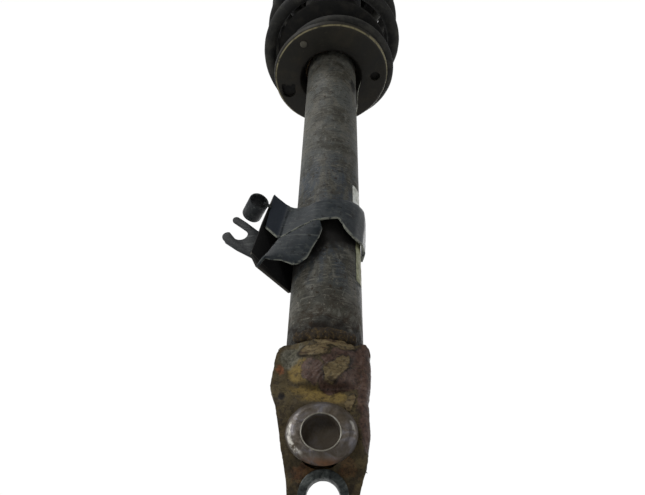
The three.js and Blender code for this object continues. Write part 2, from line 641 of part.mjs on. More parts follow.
// ------------------------------------------------------- blank paper labels
function label(bottom, top, from, to) {
  const inner = TUBE_R + GAP;
  const shape = new THREE.Shape();
  shape.absarc(0, 0, inner + 0.4, from, to, false);
  shape.absarc(0, 0, inner, to, from, true);
  return new THREE.ExtrudeGeometry(shape, { depth: top - bottom, bevelEnabled: false, curveSegments: 8 })
    .translate(0, 0, bottom);
}
const degrees = THREE.MathUtils.degToRad;
add('label_upper', label(214, 231, degrees(-42), degrees(-18)), blankLabel());
add('label_lower', label(138, 176, degrees(-36), degrees(-16)), blankLabel());

// ------------------------------------------------ upper spring seat assembly
add('upper_spring_pad', ring([[52, SPRING_TOP + 0.5], [74, SPRING_TOP + 0.5], [74, UPPER_SEAT_Z - GAP],
  [48, UPPER_SEAT_Z - GAP], [48, SPRING_TOP - 8], [52, SPRING_TOP - 8]]), blackRubber());
add('upper_spring_seat', ring([[22, RACE_Z - 3.2], [44, RACE_Z - 3.2], [50, UPPER_SEAT_Z],
  [UPPER_SEAT_R - 3, UPPER_SEAT_Z], [UPPER_SEAT_R, UPPER_SEAT_Z - 8],
  [UPPER_SEAT_R + 2, UPPER_SEAT_Z - 8], [UPPER_SEAT_R, UPPER_SEAT_Z + 2.5],
  [52, UPPER_SEAT_Z + 2.5], [46, RACE_Z - 0.5], [22, RACE_Z - 0.5]], FINE_ROUND), darkPaint());
add('bearing_lower_race', ring([[26, RACE_Z], [44, RACE_Z], [44, RACE_Z + 3.5], [40, RACE_Z + 3.5],
  [37.5, RACE_Z + 2.2], [32.5, RACE_Z + 2.2], [30, RACE_Z + 3.5], [26, RACE_Z + 3.5]]), nylon());
add('bearing_upper_race', ring([[26, RACE_Z + 14], [46.6, RACE_Z + 14], [46.6, RACE_Z + 5],
  [45, RACE_Z + 5], [45, RACE_Z + 9.5], [40, RACE_Z + 7.8], [37.5, RACE_Z + 9.2],
  [32.5, RACE_Z + 9.2], [30, RACE_Z + 7.8], [26, RACE_Z + 7.8]].reverse()), nylon());

const ballZ = RACE_Z + 5.7;
let cage = solid(sleeve(30.5, 39.5, ballZ - 1.2, ballZ + 1.2));
for (let i = 0; i < BALL_COUNT; i += 1) {
  const angle = 2 * Math.PI * i / BALL_COUNT;
  const [x, y] = [BALL_CIRCLE_R * Math.cos(angle), BALL_CIRCLE_R * Math.sin(angle)];
  cage = cage.subtract(solid(disc(BALL_R + 0.5, -5, 5, 12).translate(x, y, ballZ)));
  add(`bearing_ball_${i + 1}`, new THREE.SphereGeometry(BALL_R, 6, 4).translate(x, y, ballZ),
    chromeRod());
}
add('bearing_cage', cage, nylon());

// ------------------------------------------------------ rod, piston, bumper
const PISTON_Z = 424;
add('piston_rod', turned([[0, PISTON_Z - 10], [6, PISTON_Z - 10], [6, PISTON_Z + 13],
  [ROD_R, PISTON_Z + 13], [ROD_R, ROD_SHOULDER], [ROD_THREAD_R, ROD_SHOULDER + 1],
  [ROD_THREAD_R, ROD_TOP - 1], [ROD_THREAD_R - 1, ROD_TOP], [0, ROD_TOP]], ROUND), chromeRod());
add('piston', ring([[6 + GAP, PISTON_Z - 2], [14.6, PISTON_Z - 2], [14.6, PISTON_Z + 10],
  [6 + GAP, PISTON_Z + 10]], ROUND), machinedSteel());
add('piston_band', sleeve(14.9, 15.7, PISTON_Z, PISTON_Z + 8, ROUND), nylon());
add('piston_nut', hexNut(6 + GAP, 10, PISTON_Z - 9, PISTON_Z - 2.4), zincPlate());
add('rebound_stop', sleeve(ROD_R + GAP, 15.2, PISTON_Z + 20, GUIDE_BOTTOM - 0.5, ROUND), urethane());
add('bump_stop', ring([[ROD_R + 0.6, BUMP_BOTTOM], [15, BUMP_BOTTOM], [17.5, BUMP_BOTTOM + 4],
  [21, BUMP_BOTTOM + 9], [18, BUMP_BOTTOM + 15], [24, BUMP_BOTTOM + 22], [20.5, BUMP_BOTTOM + 28],
  [25, BUMP_BOTTOM + 36], [25, BUMP_TOP], [ROD_R + 0.6, BUMP_TOP]], ROUND), urethane());
add('bump_stop_cup', ring([[ROD_R + 0.4, BUMP_TOP + 0.4], [26, BUMP_TOP + 0.4],
  [26, BUMP_TOP - 7], [28, BUMP_TOP - 7], [28, BUMP_TOP + 3], [ROD_R + 0.4, BUMP_TOP + 3]], ROUND),
darkPaint());

// ------------------------------------------------------------------ top mount
add('rebound_washer', sleeve(ROD_THREAD_R + 0.4, 20, ROD_SHOULDER + 1.5, ROD_SHOULDER + 4.5, ROUND),
  zincPlate());
add('mount_sleeve', sleeve(ROD_THREAD_R + 0.4, 13, MOUNT_Z + 3, MOUNT_PLATE_Z + 14, ROUND),
  machinedSteel());
add('mount_rubber', ring([[13.3, MOUNT_Z + 4], [25, MOUNT_Z + 4], [29, MOUNT_Z + 8],
  [29, MOUNT_PLATE_Z + 9], [24, MOUNT_PLATE_Z + 12], [13.3, MOUNT_PLATE_Z + 12]]), blackRubber());

function mountPlate() {
  let plate = solid(ring([[29.4, MOUNT_PLATE_Z + 10], [29.4, MOUNT_Z + 7.5], [26.5, MOUNT_Z + 0.6],
    [26.5, MOUNT_Z - 2.6], [47, MOUNT_Z - 2.6], [47, MOUNT_Z + 2], [50, MOUNT_PLATE_Z - 3],
    [MOUNT_PLATE_R, MOUNT_PLATE_Z - 3], [MOUNT_PLATE_R, MOUNT_PLATE_Z], [33, MOUNT_PLATE_Z],
    [32, MOUNT_PLATE_Z + 10]], FINE_ROUND));
  for (let i = 0; i < STUD_COUNT; i += 1) {
    const angle = 2 * Math.PI * i / STUD_COUNT + Math.PI / 2;
    const [x, y] = [STUD_CIRCLE_R * Math.cos(angle), STUD_CIRCLE_R * Math.sin(angle)];
    plate = plate.subtract(solid(disc(4.4, MOUNT_Z - 20, MOUNT_PLATE_Z + 20, SMALL_ROUND)
      .translate(x, y, 0)));
  }
  return plate;
}
add('top_mount_plate', mountPlate(), darkPaint());

for (let i = 0; i < STUD_COUNT; i += 1) {
  const angle = 2 * Math.PI * i / STUD_COUNT + Math.PI / 2;
  const [x, y] = [STUD_CIRCLE_R * Math.cos(angle), STUD_CIRCLE_R * Math.sin(angle)];
  const base = MOUNT_Z - 1;
  add(`mount_stud_${i + 1}`, turned([[0, base], [4, base], [4, MOUNT_PLATE_Z + 21],
    [3, MOUNT_PLATE_Z + 22], [0, MOUNT_PLATE_Z + 22]], 16).translate(x, y, 0), zincPlate());
}
add('rod_washer', sleeve(ROD_THREAD_R + 0.4, 19, MOUNT_PLATE_Z + 14.5, MOUNT_PLATE_Z + 17.5, ROUND),
  zincPlate());
add('rod_nut', hexNut(ROD_THREAD_R + 0.4, 12.4, MOUNT_PLATE_Z + 18, MOUNT_PLATE_Z + 29), zincPlate());

export default strut;
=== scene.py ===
# Strut assembly: the finished look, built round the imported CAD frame.
import math

import bmesh
import bpy
import numpy as np
from mathutils import Matrix, Vector, noise


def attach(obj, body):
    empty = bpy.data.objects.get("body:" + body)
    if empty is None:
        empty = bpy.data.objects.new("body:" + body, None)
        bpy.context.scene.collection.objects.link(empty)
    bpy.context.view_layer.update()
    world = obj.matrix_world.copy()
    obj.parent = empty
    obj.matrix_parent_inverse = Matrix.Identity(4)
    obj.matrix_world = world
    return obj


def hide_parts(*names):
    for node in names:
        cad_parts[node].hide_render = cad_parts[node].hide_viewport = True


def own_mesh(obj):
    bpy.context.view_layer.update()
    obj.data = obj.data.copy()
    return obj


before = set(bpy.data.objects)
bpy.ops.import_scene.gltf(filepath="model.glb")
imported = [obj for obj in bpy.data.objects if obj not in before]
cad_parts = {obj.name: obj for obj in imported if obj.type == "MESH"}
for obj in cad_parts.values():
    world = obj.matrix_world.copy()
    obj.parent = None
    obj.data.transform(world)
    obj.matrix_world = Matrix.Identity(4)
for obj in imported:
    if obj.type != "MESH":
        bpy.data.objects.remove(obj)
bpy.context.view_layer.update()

MM = 0.001
BODY = "strut_body"
SEAT = "upper_seat"
MOUNT = "top_mount"

# ------------------------------------------------------------------ camera
PHOTO_WIDTH = 645
FOCAL_PIXELS = 490
SENSOR_MM = 36
CAMERA_PLACE = (0.0, -0.2949, -0.059)
CAMERA_VIEW = (-0.010, 0.778, 0.628)
CAMERA_RIGHT = (1.0, -0.008, 0.026)


def make_camera():
    data = bpy.data.cameras.new("photo_camera")
    data.sensor_width = SENSOR_MM
    data.lens = FOCAL_PIXELS / PHOTO_WIDTH * SENSOR_MM
    data.clip_start = 0.01
    camera = bpy.data.objects.new("photo_camera", data)
    bpy.context.scene.collection.objects.link(camera)
    view = Vector(CAMERA_VIEW).normalized()
    right = Vector(CAMERA_RIGHT).normalized()
    up = right.cross(view).normalized()
    right = view.cross(up)
    turn = Matrix((right, up, -view)).transposed().to_4x4()
    camera.matrix_world = Matrix.Translation(CAMERA_PLACE) @ turn
    bpy.context.scene.camera = camera


# ------------------------------------------------------------- mesh making
def mesh_object(name, points, faces, look, body, replaces=(), sharp=35.0):
    mesh = bpy.data.meshes.new(name)
    mesh.from_pydata([tuple(p) for p in np.asarray(points) * MM], [], faces)
    mesh.validate()
    if look:
        mesh.materials.append(look)
    piece = bpy.data.objects.new(name, mesh)
    bpy.context.scene.collection.objects.link(piece)
    soften(piece, sharp)
    if body:
        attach(piece, body)
    if replaces:
        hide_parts(*replaces)
    return piece


def soften(piece, sharp):
    piece.data.shade_smooth()
    piece.data.set_sharp_from_angle(angle=math.radians(sharp))


def outward(piece):
    work = bmesh.new()
    work.from_mesh(piece.data)
    bmesh.ops.remove_doubles(work, verts=work.verts, dist=1e-6)
    bmesh.ops.recalc_face_normals(work, faces=work.faces)
    work.to_mesh(piece.data)
    work.free()


def bake_modifiers(piece):
    graph = bpy.context.evaluated_depsgraph_get()
    graph.update()
    done = bpy.data.meshes.new_from_object(piece.evaluated_get(graph))
    piece.modifiers.clear()
    piece.data = done


def cut_with(piece, cutter):
    modifier = piece.modifiers.new("cut", "BOOLEAN")
    modifier.operation = "DIFFERENCE"
    modifier.solver = "EXACT"
    modifier.object = cutter
    bake_modifiers(piece)
    bpy.data.objects.remove(cutter)


def bevel(piece, width_mm, segments=2, angle=35.0):
    modifier = piece.modifiers.new("edge", "BEVEL")
    modifier.width = width_mm * MM
    modifier.segments = segments
    modifier.limit_method = "ANGLE"
    modifier.angle_limit = math.radians(angle)
    bake_modifiers(piece)


def cutter_from(work):
    mesh = bpy.data.meshes.new("cutter")
    work.to_mesh(mesh)
    work.free()
    cutter = bpy.data.objects.new("cutter", mesh)
    bpy.context.scene.collection.objects.link(cutter)
    return cutter


def cylinder_cutter(radius, start, end, segments=96):
    """A closed cylinder from point start to point end, in millimetres."""
    start, end = Vector(start), Vector(end)
    work = bmesh.new()
    bmesh.ops.create_cone(work, cap_ends=True, segments=segments, radius1=radius * MM,
                          radius2=radius * MM, depth=(end - start).length * MM)
    turn = (end - start).to_track_quat("Z", "Y").to_matrix().to_4x4()
    middle = Matrix.Translation((start + end) * 0.5 * MM)
    bmesh.ops.transform(work, matrix=middle @ turn, verts=work.verts)
    return cutter_from(work)


def grid_faces(rows, columns, wrap_rows=False, wrap_columns=False, offset=0):
    faces = []
    for i in range(rows if wrap_rows else rows - 1):
        for j in range(columns if wrap_columns else columns - 1):
            a, b = i * columns, ((i + 1) % rows) * columns
            c = (j + 1) % columns
            faces.append((offset + a + j, offset + a + c, offset + b + c, offset + b + j))
    return faces


def rounded(profile, radius, steps=3):
    """A closed profile of (r, z) corners with each corner turned into a small arc."""
    done = []
    count = len(profile)
    for i, corner in enumerate(profile):
        here = np.array(corner, float)
        if here[0] < 1e-6:
            done.append(tuple(here))
            continue
        before = np.array(profile[i - 1], float) - here
        after = np.array(profile[(i + 1) % count], float) - here
        reach = min(radius, 0.45 * np.linalg.norm(before), 0.45 * np.linalg.norm(after))
        a = here + before / np.linalg.norm(before) * reach
        b = here + after / np.linalg.norm(after) * reach
        for k in range(steps + 1):
            t = k / steps
            done.append(tuple((1 - t) ** 2 * a + 2 * t * (1 - t) * here + t ** 2 * b))
    return done


def turned_points(profile, segments):
    angles = np.linspace(0, 2 * math.pi, segments, endpoint=False)
    return np.array([(r * math.cos(a), r * math.sin(a), z) for r, z in profile for a in angles])


def turned(name, profile, look, body, replaces=(), radius=0.6, segments=128, place=None, sharp=35.0):
    """A closed profile turned about Z; place is a matrix in millimetres."""
    section = rounded(profile, radius) if radius else profile
    points = turned_points(section, segments)
    if place is not None:
        points = np.array([place @ Vector(p) for p in points])
    on_axis = section[0][0] < 1e-6
    faces = grid_faces(len(section), segments, wrap_rows=not on_axis, wrap_columns=True)
    piece = mesh_object(name, points, faces, look, body, replaces, sharp)
    outward(piece)
    soften(piece, sharp)
    return piece


def facing_front(x, z, tilt=0.0):
    """Turns an axis along +Z, height up, into one along -Y through (x, z), tilted up at the plate."""
    return (Matrix.Translation((x, -BOX_DEPTH, z)) @ Matrix.Rotation(-tilt, 4, "X")
            @ Matrix.Translation((0, BOX_DEPTH, 0)) @ Matrix.Rotation(math.pi / 2, 4, "X"))


def knots(table, at):
    return float(np.interp(at, [k for k, _ in table], [v for _, v in table]))


def smooth_step(low, high, at):
    t = min(max((at - low) / (high - low), 0.0), 1.0)
    return t * t * (3 - 2 * t)


def rough(x, y, z, size, octaves=4):
    """Fractal noise of about -1 to 1 with features of the given size in millimetres."""
    return noise.fractal(Vector((x, y, z)) / size, 0.9, 2.1, octaves)


def paint(piece, name, values):
    """Keeps one number for each vertex, for a look to read."""
    layer = piece.data.attributes.new(name, "FLOAT", "POINT")
    layer.data.foreach_set("value", values)


def thicken(piece, thickness, offset):
    wall = piece.modifiers.new("wall", "SOLIDIFY")
    wall.thickness = thickness * MM
    wall.offset = offset
    bake_modifiers(piece)


def displace(piece, height):
    """Moves each vertex along its normal by height(x, y, z, normal), all in millimetres."""
    mesh = piece.data
    normals = [v.normal.copy() for v in mesh.vertices]
    for vertex, normal in zip(mesh.vertices, normals):
        x, y, z = vertex.co / MM
        vertex.co += normal * height(x, y, z, normal) * MM
    mesh.update()


def roughen(piece, *layers):
    """Uneven surface; each layer has a height, a feature size and a number of octaves."""
    displace(piece, lambda x, y, z, normal: sum(height * rough(x, y, z, size, octaves)
                                                for height, size, octaves in layers))


# --------------------------------------------------------------- materials
def srgb(r, g, b):
    def linear(c):
        c /= 255
        return c / 12.92 if c <= 0.04045 else ((c + 0.055) / 1.055) ** 2.4
    return (linear(r), linear(g), linear(b), 1.0)


def tone(value):
    """A colour from three sRGB numbers or from one level; anything else is passed on."""
    if isinstance(value, tuple) and len(value) == 3:
        return srgb(*value)
    if isinstance(value, (int, float)):
        return (value, value, value, 1)
    return value


class Look:
    """A node material whose textures are sized in millimetres of the object."""

    def __init__(self, name, roughness=0.6, metallic=0.0):
        self.material = bpy.data.materials.new(name)
        self.material.use_nodes = True
        self.tree = self.material.node_tree
        self.shader = self.tree.nodes["Principled BSDF"]
        self.shader.inputs["Roughness"].default_value = roughness
        self.shader.inputs["Metallic"].default_value = metallic
        self.place = self.add("TexCoord").outputs["Object"]
        self.relief = None

    def add(self, kind):
        return self.tree.nodes.new("ShaderNode" + kind)

    def put(self, socket, value):
        if isinstance(value, bpy.types.NodeSocket):
            self.tree.links.new(value, socket)
        else:
            socket.default_value = value

    def stretched(self, sx, sy, sz):
        node = self.add("VectorMath")
        node.operation = "MULTIPLY"
        self.put(node.inputs[0], self.place)
        node.inputs[1].default_value = (sx, sy, sz)
        return node.outputs[0]

    def slanted(self, degrees, scale):
        """Coordinates turned about Y and then stretched, for streaks that run at an angle."""
        node = self.add("Mapping")
        node.inputs["Rotation"].default_value = (0, math.radians(degrees), 0)
        node.inputs["Scale"].default_value = scale
        self.put(node.inputs["Vector"], self.place)
        return node.outputs[0]

    def noise(self, size, detail=4.0, roughness=0.55, distortion=0.0, place=None, seed=0.0):
        node = self.add("TexNoise")
        node.noise_dimensions = "4D"
        self.put(node.inputs["Vector"], place or self.place)
        node.inputs["W"].default_value = seed
        node.inputs["Scale"].default_value = 1 / (size * MM)
        node.inputs["Detail"].default_value = detail
        node.inputs["Roughness"].default_value = roughness
        node.inputs["Distortion"].default_value = distortion
        return node.outputs["Fac"]

    def cells(self, size):
        node = self.add("TexVoronoi")
        self.put(node.inputs["Vector"], self.place)
        node.inputs["Scale"].default_value = 1 / (size * MM)
        return node.outputs["Distance"]

    def ramp(self, value, *stops):
        """Maps a value through (position, level) stops; a level is a number or a colour."""
        node = self.add("ValToRGB")
        self.put(node.inputs["Fac"], value)
        elements = node.color_ramp.elements
        while len(elements) < len(stops):
            elements.new(0.5)
        for element, (position, level) in zip(elements, stops):
            element.position = position
            element.color = tone(level)
        return node.outputs["Color"]

    def mix(self, amount, first, second):
        node = self.add("Mix")
        node.data_type = "RGBA"
        self.put(node.inputs["Factor"], amount)
        self.put(node.inputs[6], tone(first))
        self.put(node.inputs[7], tone(second))
        return node.outputs[2]

    def over(self, base, colour, mask, amount=None):
        """Lays a colour over the base, by the mask times the amount."""
        if amount is not None:
            mask = self.maths("MULTIPLY", mask, amount)
        return self.mix(mask, base, colour)

    def maths(self, operation, first, second=0.0):
        node = self.add("Math")
        node.operation = operation
        self.put(node.inputs[0], first)
        self.put(node.inputs[1], second)
        return node.outputs[0]

    def between(self, value, low, high):
        node = self.add("MapRange")
        node.interpolation_type = "SMOOTHSTEP"
        self.put(node.inputs["Value"], value)
        node.inputs["From Min"].default_value = low
        node.inputs["From Max"].default_value = high
        return node.outputs["Result"]

    def below(self, value, low, high):
        return self.maths("SUBTRACT", 1.0, self.between(value, low, high))

    def spots(self, low, high, *noise, **more):
        """Patches where a noise is above a soft threshold."""
        return self.between(self.noise(*noise, **more), low, high)

    def from_axis(self):
        """Distance from the Z axis, in millimetres."""
        node = self.add("VectorMath")
        node.operation = "LENGTH"
        self.put(node.inputs[0], self.stretched(1, 1, 0))
        return self.maths("MULTIPLY", node.outputs["Value"], 1000.0)

    def axis(self, letter):
        """Object coordinate along X, Y or Z, in millimetres."""
        node = self.add("SeparateXYZ")
        self.put(node.inputs[0], self.place)
        return self.maths("MULTIPLY", node.outputs[letter], 1000.0)

    def painted(self, name):
        node = self.add("Attribute")
        node.attribute_name = name
        return node.outputs["Fac"]

    def edges(self, low=0.52, high=0.6):
        """Worn convex edges."""
        node = self.add("NewGeometry")
        return self.between(node.outputs["Pointiness"], low, high)

    def bump(self, height, strength, depth_mm):
        node = self.add("Bump")
        node.inputs["Strength"].default_value = strength
        node.inputs["Distance"].default_value = depth_mm * MM
        self.put(node.inputs["Height"], height)
        if self.relief is not None:
            self.put(node.inputs["Normal"], self.relief)
        self.relief = node.outputs["Normal"]

    def done(self, colour, roughness=None, metallic=None, shine=0.22):
        self.shader.inputs["Specular IOR Level"].default_value = shine
        self.put(self.shader.inputs["Base Color"], colour)
        if roughness is not None:
            self.put(self.shader.inputs["Roughness"], roughness)
        if metallic is not None:
            self.put(self.shader.inputs["Metallic"], metallic)
        if self.relief is not None:
            self.put(self.shader.inputs["Normal"], self.relief)
        return self.material


def tube_look():
    look = Look("worn_grey_paint")
    height = look.axis("Z")
    base = look.mix(look.between(height, 95, 260), (55, 55, 47), (70, 72, 69))
    cloud = look.noise(16, 6, 0.66, 0.7, seed=41)
    base = look.over(base, (84, 82, 74), look.between(cloud, 0.42, 0.62))
    streak = look.noise(9, 5, 0.6, 0.6, look.stretched(1, 1, 0.22), seed=3)
    below = look.below(height, 235, 275)
    above = look.between(height, 108, 150)
    bluish = look.maths("MULTIPLY", look.maths("MULTIPLY", look.between(streak, 0.4, 0.56), below), above)
    base = look.over(base, (50, 57, 64), bluish, 0.9)
    blotch = look.noise(22, 6, 0.7, 0.4, seed=7)
    base = look.over(base, (52, 50, 42), look.between(blotch, 0.48, 0.6), 0.8)
    pale = look.noise(5, 7, 0.75, 0.8, look.stretched(1, 1, 0.55), seed=11)
    base = look.over(base, (106, 105, 98), look.between(pale, 0.54, 0.62), 0.55)
    slant = look.slanted(35, (0.5, 0.5, 3.2))
    scuff = look.noise(7, 6, 0.75, 1.4, slant, seed=19)
    base = look.over(base, (104, 101, 92), look.between(scuff, 0.55, 0.6), 0.6)
    dark_scuff = look.noise(8, 6, 0.75, 1.6, slant, seed=49)
    base = look.over(base, (34, 32, 28), look.between(dark_scuff, 0.545, 0.59), 0.8)
    near_bracket = look.below(height, 94, 128)
    rust_noise = look.noise(6, 6, 0.7, 0.5, seed=23)
    specks = look.spots(0.58, 0.63, 3.4, 5, 0.75, 0.3, seed=29)
    fine = look.spots(0.57, 0.64, 2.0, 4, 0.75, 0.3, seed=59)
    rust = look.maths("MAXIMUM", look.maths("MULTIPLY", look.between(rust_noise, 0.42, 0.6), near_bracket),
                      look.maths("MAXIMUM", look.maths("MULTIPLY", specks, 0.8),
                                 look.maths("MULTIPLY", fine, 0.3)))
    base = look.over(base, (42, 31, 20), rust)
    light_specks = look.spots(0.6, 0.66, 2.2, 4, 0.75, 0.3, seed=69)
    base = look.over(base, (126, 122, 110), light_specks, 0.5)
    # The grime attribute holds real grime and a painted shadow below the hose bracket.
    grime = look.painted("grime")
    base = look.over(base, (14, 12, 9), grime)
    look.bump(look.noise(1.1, 4, 0.6, seed=31), 0.5, 0.3)
    look.bump(pale, 0.5, 0.6)
    look.bump(rust, 0.5, 0.35)
    look.bump(scuff, 0.3, 0.4)
    roughness = look.ramp(blotch, (0.3, 0.5), (0.7, 0.72))
    roughness = look.mix(rust, roughness, 0.9)
    return look.done(base, roughness, 0.0)


def grime_and_shadow_on_tube(piece):
    """Grime on the tube, caked round its foot and in a sooty patch, and a painted shadow below the hose
    bracket.
    """
    mesh = piece.data
    values = np.zeros(len(mesh.vertices))
    for i, vertex in enumerate(mesh.vertices):
        x, y, z = vertex.co / MM
        if y > 8:
            continue
        # Painted shadow: the tube darkens below the hose bracket's flared lower edge, where its shadow
        # falls.
        shadow_edge = knots([(-22, 139), (-10, 150), (0, 157), (10, 160), (18, 161), (25, 158)], x)
        bracket_shadow = smooth_step(shadow_edge - 4, shadow_edge + 8, z + 5 * rough(x, y, z, 6, 4))
        bracket_shadow *= 1 - smooth_step(196, 200, z)
        foot = 1 - smooth_step(96, 104, z + 9 * rough(x, y, z, 8, 4))
        sooty = inside(patch(x, z, (21.5, 377), (2.8, 9), 0, 0.5, 5, 21), 0.3)
        values[i] = max(0.96 * bracket_shadow, 0.7 * foot, 0.9 * sooty)
    paint(piece, "grime", values)


def bracket_look(name="flaking_paint", use_wear=True):
    look = Look(name)
    grain = look.noise(2.0, 6, 0.72, 0.4, seed=1)
    cloud = look.noise(10, 6, 0.62, 0.9, seed=2)
    base = look.ramp(cloud, (0.3, (47, 39, 25)), (0.5, (70, 60, 39)), (0.7, (88, 78, 52)))
    base = look.over(base, (33, 24, 15), look.between(grain, 0.52, 0.72), 0.8)
    primer_tone = look.ramp(look.noise(5, 6, 0.65, 0.8, seed=5), (0.32, (48, 33, 27)), (0.5, (74, 55, 46)),
                            (0.68, (94, 76, 67)))
    slant = look.slanted(42, (0.25, 1, 1.3))
    stripes = look.noise(2.6, 5, 0.65, 0.6, slant, seed=12)
    flake_tone = look.ramp(stripes, (0.34, (57, 41, 26)), (0.47, (93, 79, 53)), (0.62, (114, 101, 72)))
    if use_wear:
        primer, flake, dark, rust, ochre, green = (
            look.painted(n) for n in ("primer", "flake", "dark", "rust", "ochre", "green"))
    else:
        primer = look.spots(0.47, 0.6, 24, 5, 0.6, 0.7, seed=6)
        flake = look.spots(0.6, 0.62, 12, 6, 0.6, 0.8, seed=16)
        dark = look.maths("MULTIPLY", look.spots(0.58, 0.64, 7, 6, 0.7, 0.8, seed=18), 0.6)
        rust = look.spots(0.68, 0.72, 9, 6, 0.7, 0.2, seed=36)
        ochre = look.spots(0.58, 0.66, 15, 6, 0.6, 0.8, seed=37)
        green = look.spots(0.6, 0.68, 19, 6, 0.6, 0.8, seed=38)
    tint = look.ramp(look.noise(3, 5, 0.7, 0.5, seed=42), (0.36, (92, 74, 36)), (0.6, (128, 108, 56)))
    base = look.over(base, tint, ochre, 0.85)
    grey = look.ramp(look.noise(2.4, 6, 0.75, 0.5, seed=44), (0.4, (62, 62, 52)), (0.6, (108, 106, 94)))
    base = look.over(base, grey, green, 0.8)
    base = look.over(base, primer_tone, primer)
    base = look.over(base, flake_tone, flake)
    # The dark values hold real cracks, stains and pits, and a painted shadow round the flakes' lifted
    # edges.
    base = look.over(base, (17, 12, 8), dark)
    orange = look.ramp(look.noise(1.5, 5, 0.7, seed=14), (0.4, (83, 46, 24)), (0.62, (131, 76, 43)))
    base = look.over(base, orange, rust)
    mottle = look.noise(4.2, 6, 0.75, 0.9, seed=61)
    base = look.over(base, (30, 22, 13), look.between(mottle, 0.52, 0.6), 0.6)
    crackle = look.noise(3.2, 6, 0.8, 1.4, slant, seed=62)
    base = look.over(base, (104, 92, 66), look.between(crackle, 0.56, 0.62), 0.4)
    pits = look.spots(0.56, 0.64, 2.0, 5, 0.75, seed=21)
    base = look.over(base, (21, 15, 9), pits, 0.75)
    specks = look.spots(0.66, 0.74, 1.1, 4, 0.7, seed=23)
    base = look.over(base, (120, 112, 91), specks, 0.5)
    base = look.over(base, (86, 69, 48), look.edges(0.53, 0.6), 0.4)
    look.bump(grain, 0.6, 0.6)
    look.bump(look.noise(0.8, 3, 0.6, seed=25), 0.4, 0.25)
    look.bump(stripes, 0.3, 0.4)
    roughness = look.ramp(cloud, (0.35, 0.55), (0.65, 0.82))
    roughness = look.mix(primer, roughness, 0.48)
    return look.done(base, roughness, 0.0)


def boss_look():
    look = Look("worn_boss_steel")
    smear = look.noise(11, 5, 0.6, 1.2, seed=4)
    steel = look.ramp(smear, (0.35, (72, 64, 54)), (0.5, (92, 86, 80)), (0.66, (108, 106, 110)))
    rusty = look.noise(6, 6, 0.65, 0.4, seed=8)
    low_side = look.below(look.axis("Z"), 11.5, 15.5)
    stain = look.maths("MULTIPLY", look.between(rusty, 0.32, 0.55), low_side)
    spots = look.between(rusty, 0.6, 0.68)
    base = look.mix(look.maths("MULTIPLY", stain, 0.8), steel, (104, 72, 48))
    base = look.over(base, (66, 54, 40), spots, 0.7)
    sunk = look.between(look.axis("Y"), -32.0, -29.2)
    base = look.over(base, (54, 46, 34), sunk, 0.8)
    dark = look.spots(0.66, 0.7, 2.5, 5, 0.75, 0.6, seed=13)
    base = look.over(base, (34, 30, 28), dark)
    chipped = look.spots(0.4, 0.54, 2.8, 5, 0.7, 0.5, seed=19)
    # Painted highlight: near-white crescents on the shoulder, broken up by noise.
    painted_highlight = look.maths("MULTIPLY", look.painted("painted_highlight"), chipped)
    base = look.over(base, (206, 203, 194), painted_highlight, 0.85)
    scratches = look.noise(1.6, 4, 0.6, 2.5, look.stretched(3.2, 1, 0.5), seed=17)
    look.bump(scratches, 0.3, 0.3)
    look.bump(look.noise(3, 5, 0.6, seed=27), 0.4, 0.5)
    dull = look.maths("MAXIMUM", look.maths("MAXIMUM", stain, spots), sunk)
    roughness = look.ramp(smear, (0.3, 0.56), (0.7, 0.34))
    roughness = look.mix(dull, roughness, 0.75)
    metallic = look.mix(dull, 0.7, 0.1)
    return look.done(base, roughness, metallic)


def bore_look():
    look = Look("sooty_bore_painted_shadow")
    lean = look.maths("MULTIPLY", look.axis("Z"), math.tan(BOSS_TILT))
    height = look.maths("SUBTRACT", look.axis("Y"), lean)
    floor = look.between(height, -33.9, -33.3)
    grime = look.noise(3.5, 6, 0.7, 0.6, seed=51)
    wall = look.ramp(grime, (0.36, (14, 10, 6)), (0.6, (40, 31, 17)))
    sooty = look.ramp(grime, (0.34, (44, 39, 30)), (0.5, (56, 50, 40)), (0.68, (72, 66, 54)))
    # Painted shadow: the floor darkens in a crescent at its top, where the bore's upper wall would shade
    # it.
    across = look.maths("POWER", look.maths("ADD", look.axis("X"), -BOSS_X), 2.0)
    up = look.maths("POWER", look.maths("ADD", look.axis("Z"), -22.6), 2.0)
    reach = look.maths("SQRT", look.maths("ADD", across, up), 0.5)
    sooty = look.mix(look.maths("MULTIPLY", look.between(reach, 8.2, 9.3), 0.85), sooty, (15, 11, 6))
    look.bump(grime, 0.4, 0.5)
    return look.done(look.mix(floor, wall, sooty), look.ramp(grime, (0.4, 0.85), (0.6, 0.6)), 0.1)


def bush_look():
    look = Look("oily_bush_steel")
    smear = look.noise(5, 6, 0.65, 1.0, seed=34)
    base = look.ramp(smear, (0.36, (28, 31, 32)), (0.5, (62, 66, 64)), (0.66, (98, 102, 100)))
    specks = look.spots(0.62, 0.68, 1.6, 5, 0.75, 0.5, seed=36)
    base = look.over(base, (128, 126, 116), specks, 0.8)
    look.bump(smear, 0.4, 0.5)
    look.bump(look.noise(1.2, 4, 0.6, seed=37), 0.3, 0.2)
    return look.done(base, look.ramp(smear, (0.35, 0.6), (0.65, 0.35)), 0.35)


def metal_look(name, colour, dark, roughness=0.35, metallic=0.9, grain=1.2, stretch=(1, 1, 1), rust=0.0):
    look = Look(name, roughness, metallic)
    smear = look.noise(8, 5, 0.6, 0.6, look.stretched(*stretch), seed=2)
    base = look.ramp(smear, (0.35, dark), (0.65, colour))
    rough_level = look.ramp(smear, (0.3, min(roughness + 0.15, 1)), (0.7, roughness))
    metal_level = metallic
    if rust:
        spots = look.spots(0.7 - 0.2 * rust, 0.76 - 0.2 * rust, 4, 6, 0.7, 0.4, seed=15)
        base = look.over(base, (92, 58, 34), spots)
        rough_level = look.mix(spots, rough_level, 0.85)
        metal_level = look.mix(spots, metallic, 0.1)
    look.bump(look.noise(grain, 4, 0.6, 0.3, look.stretched(*stretch), seed=22), 0.25, 0.15)
    return look.done(base, rough_level, metal_level)


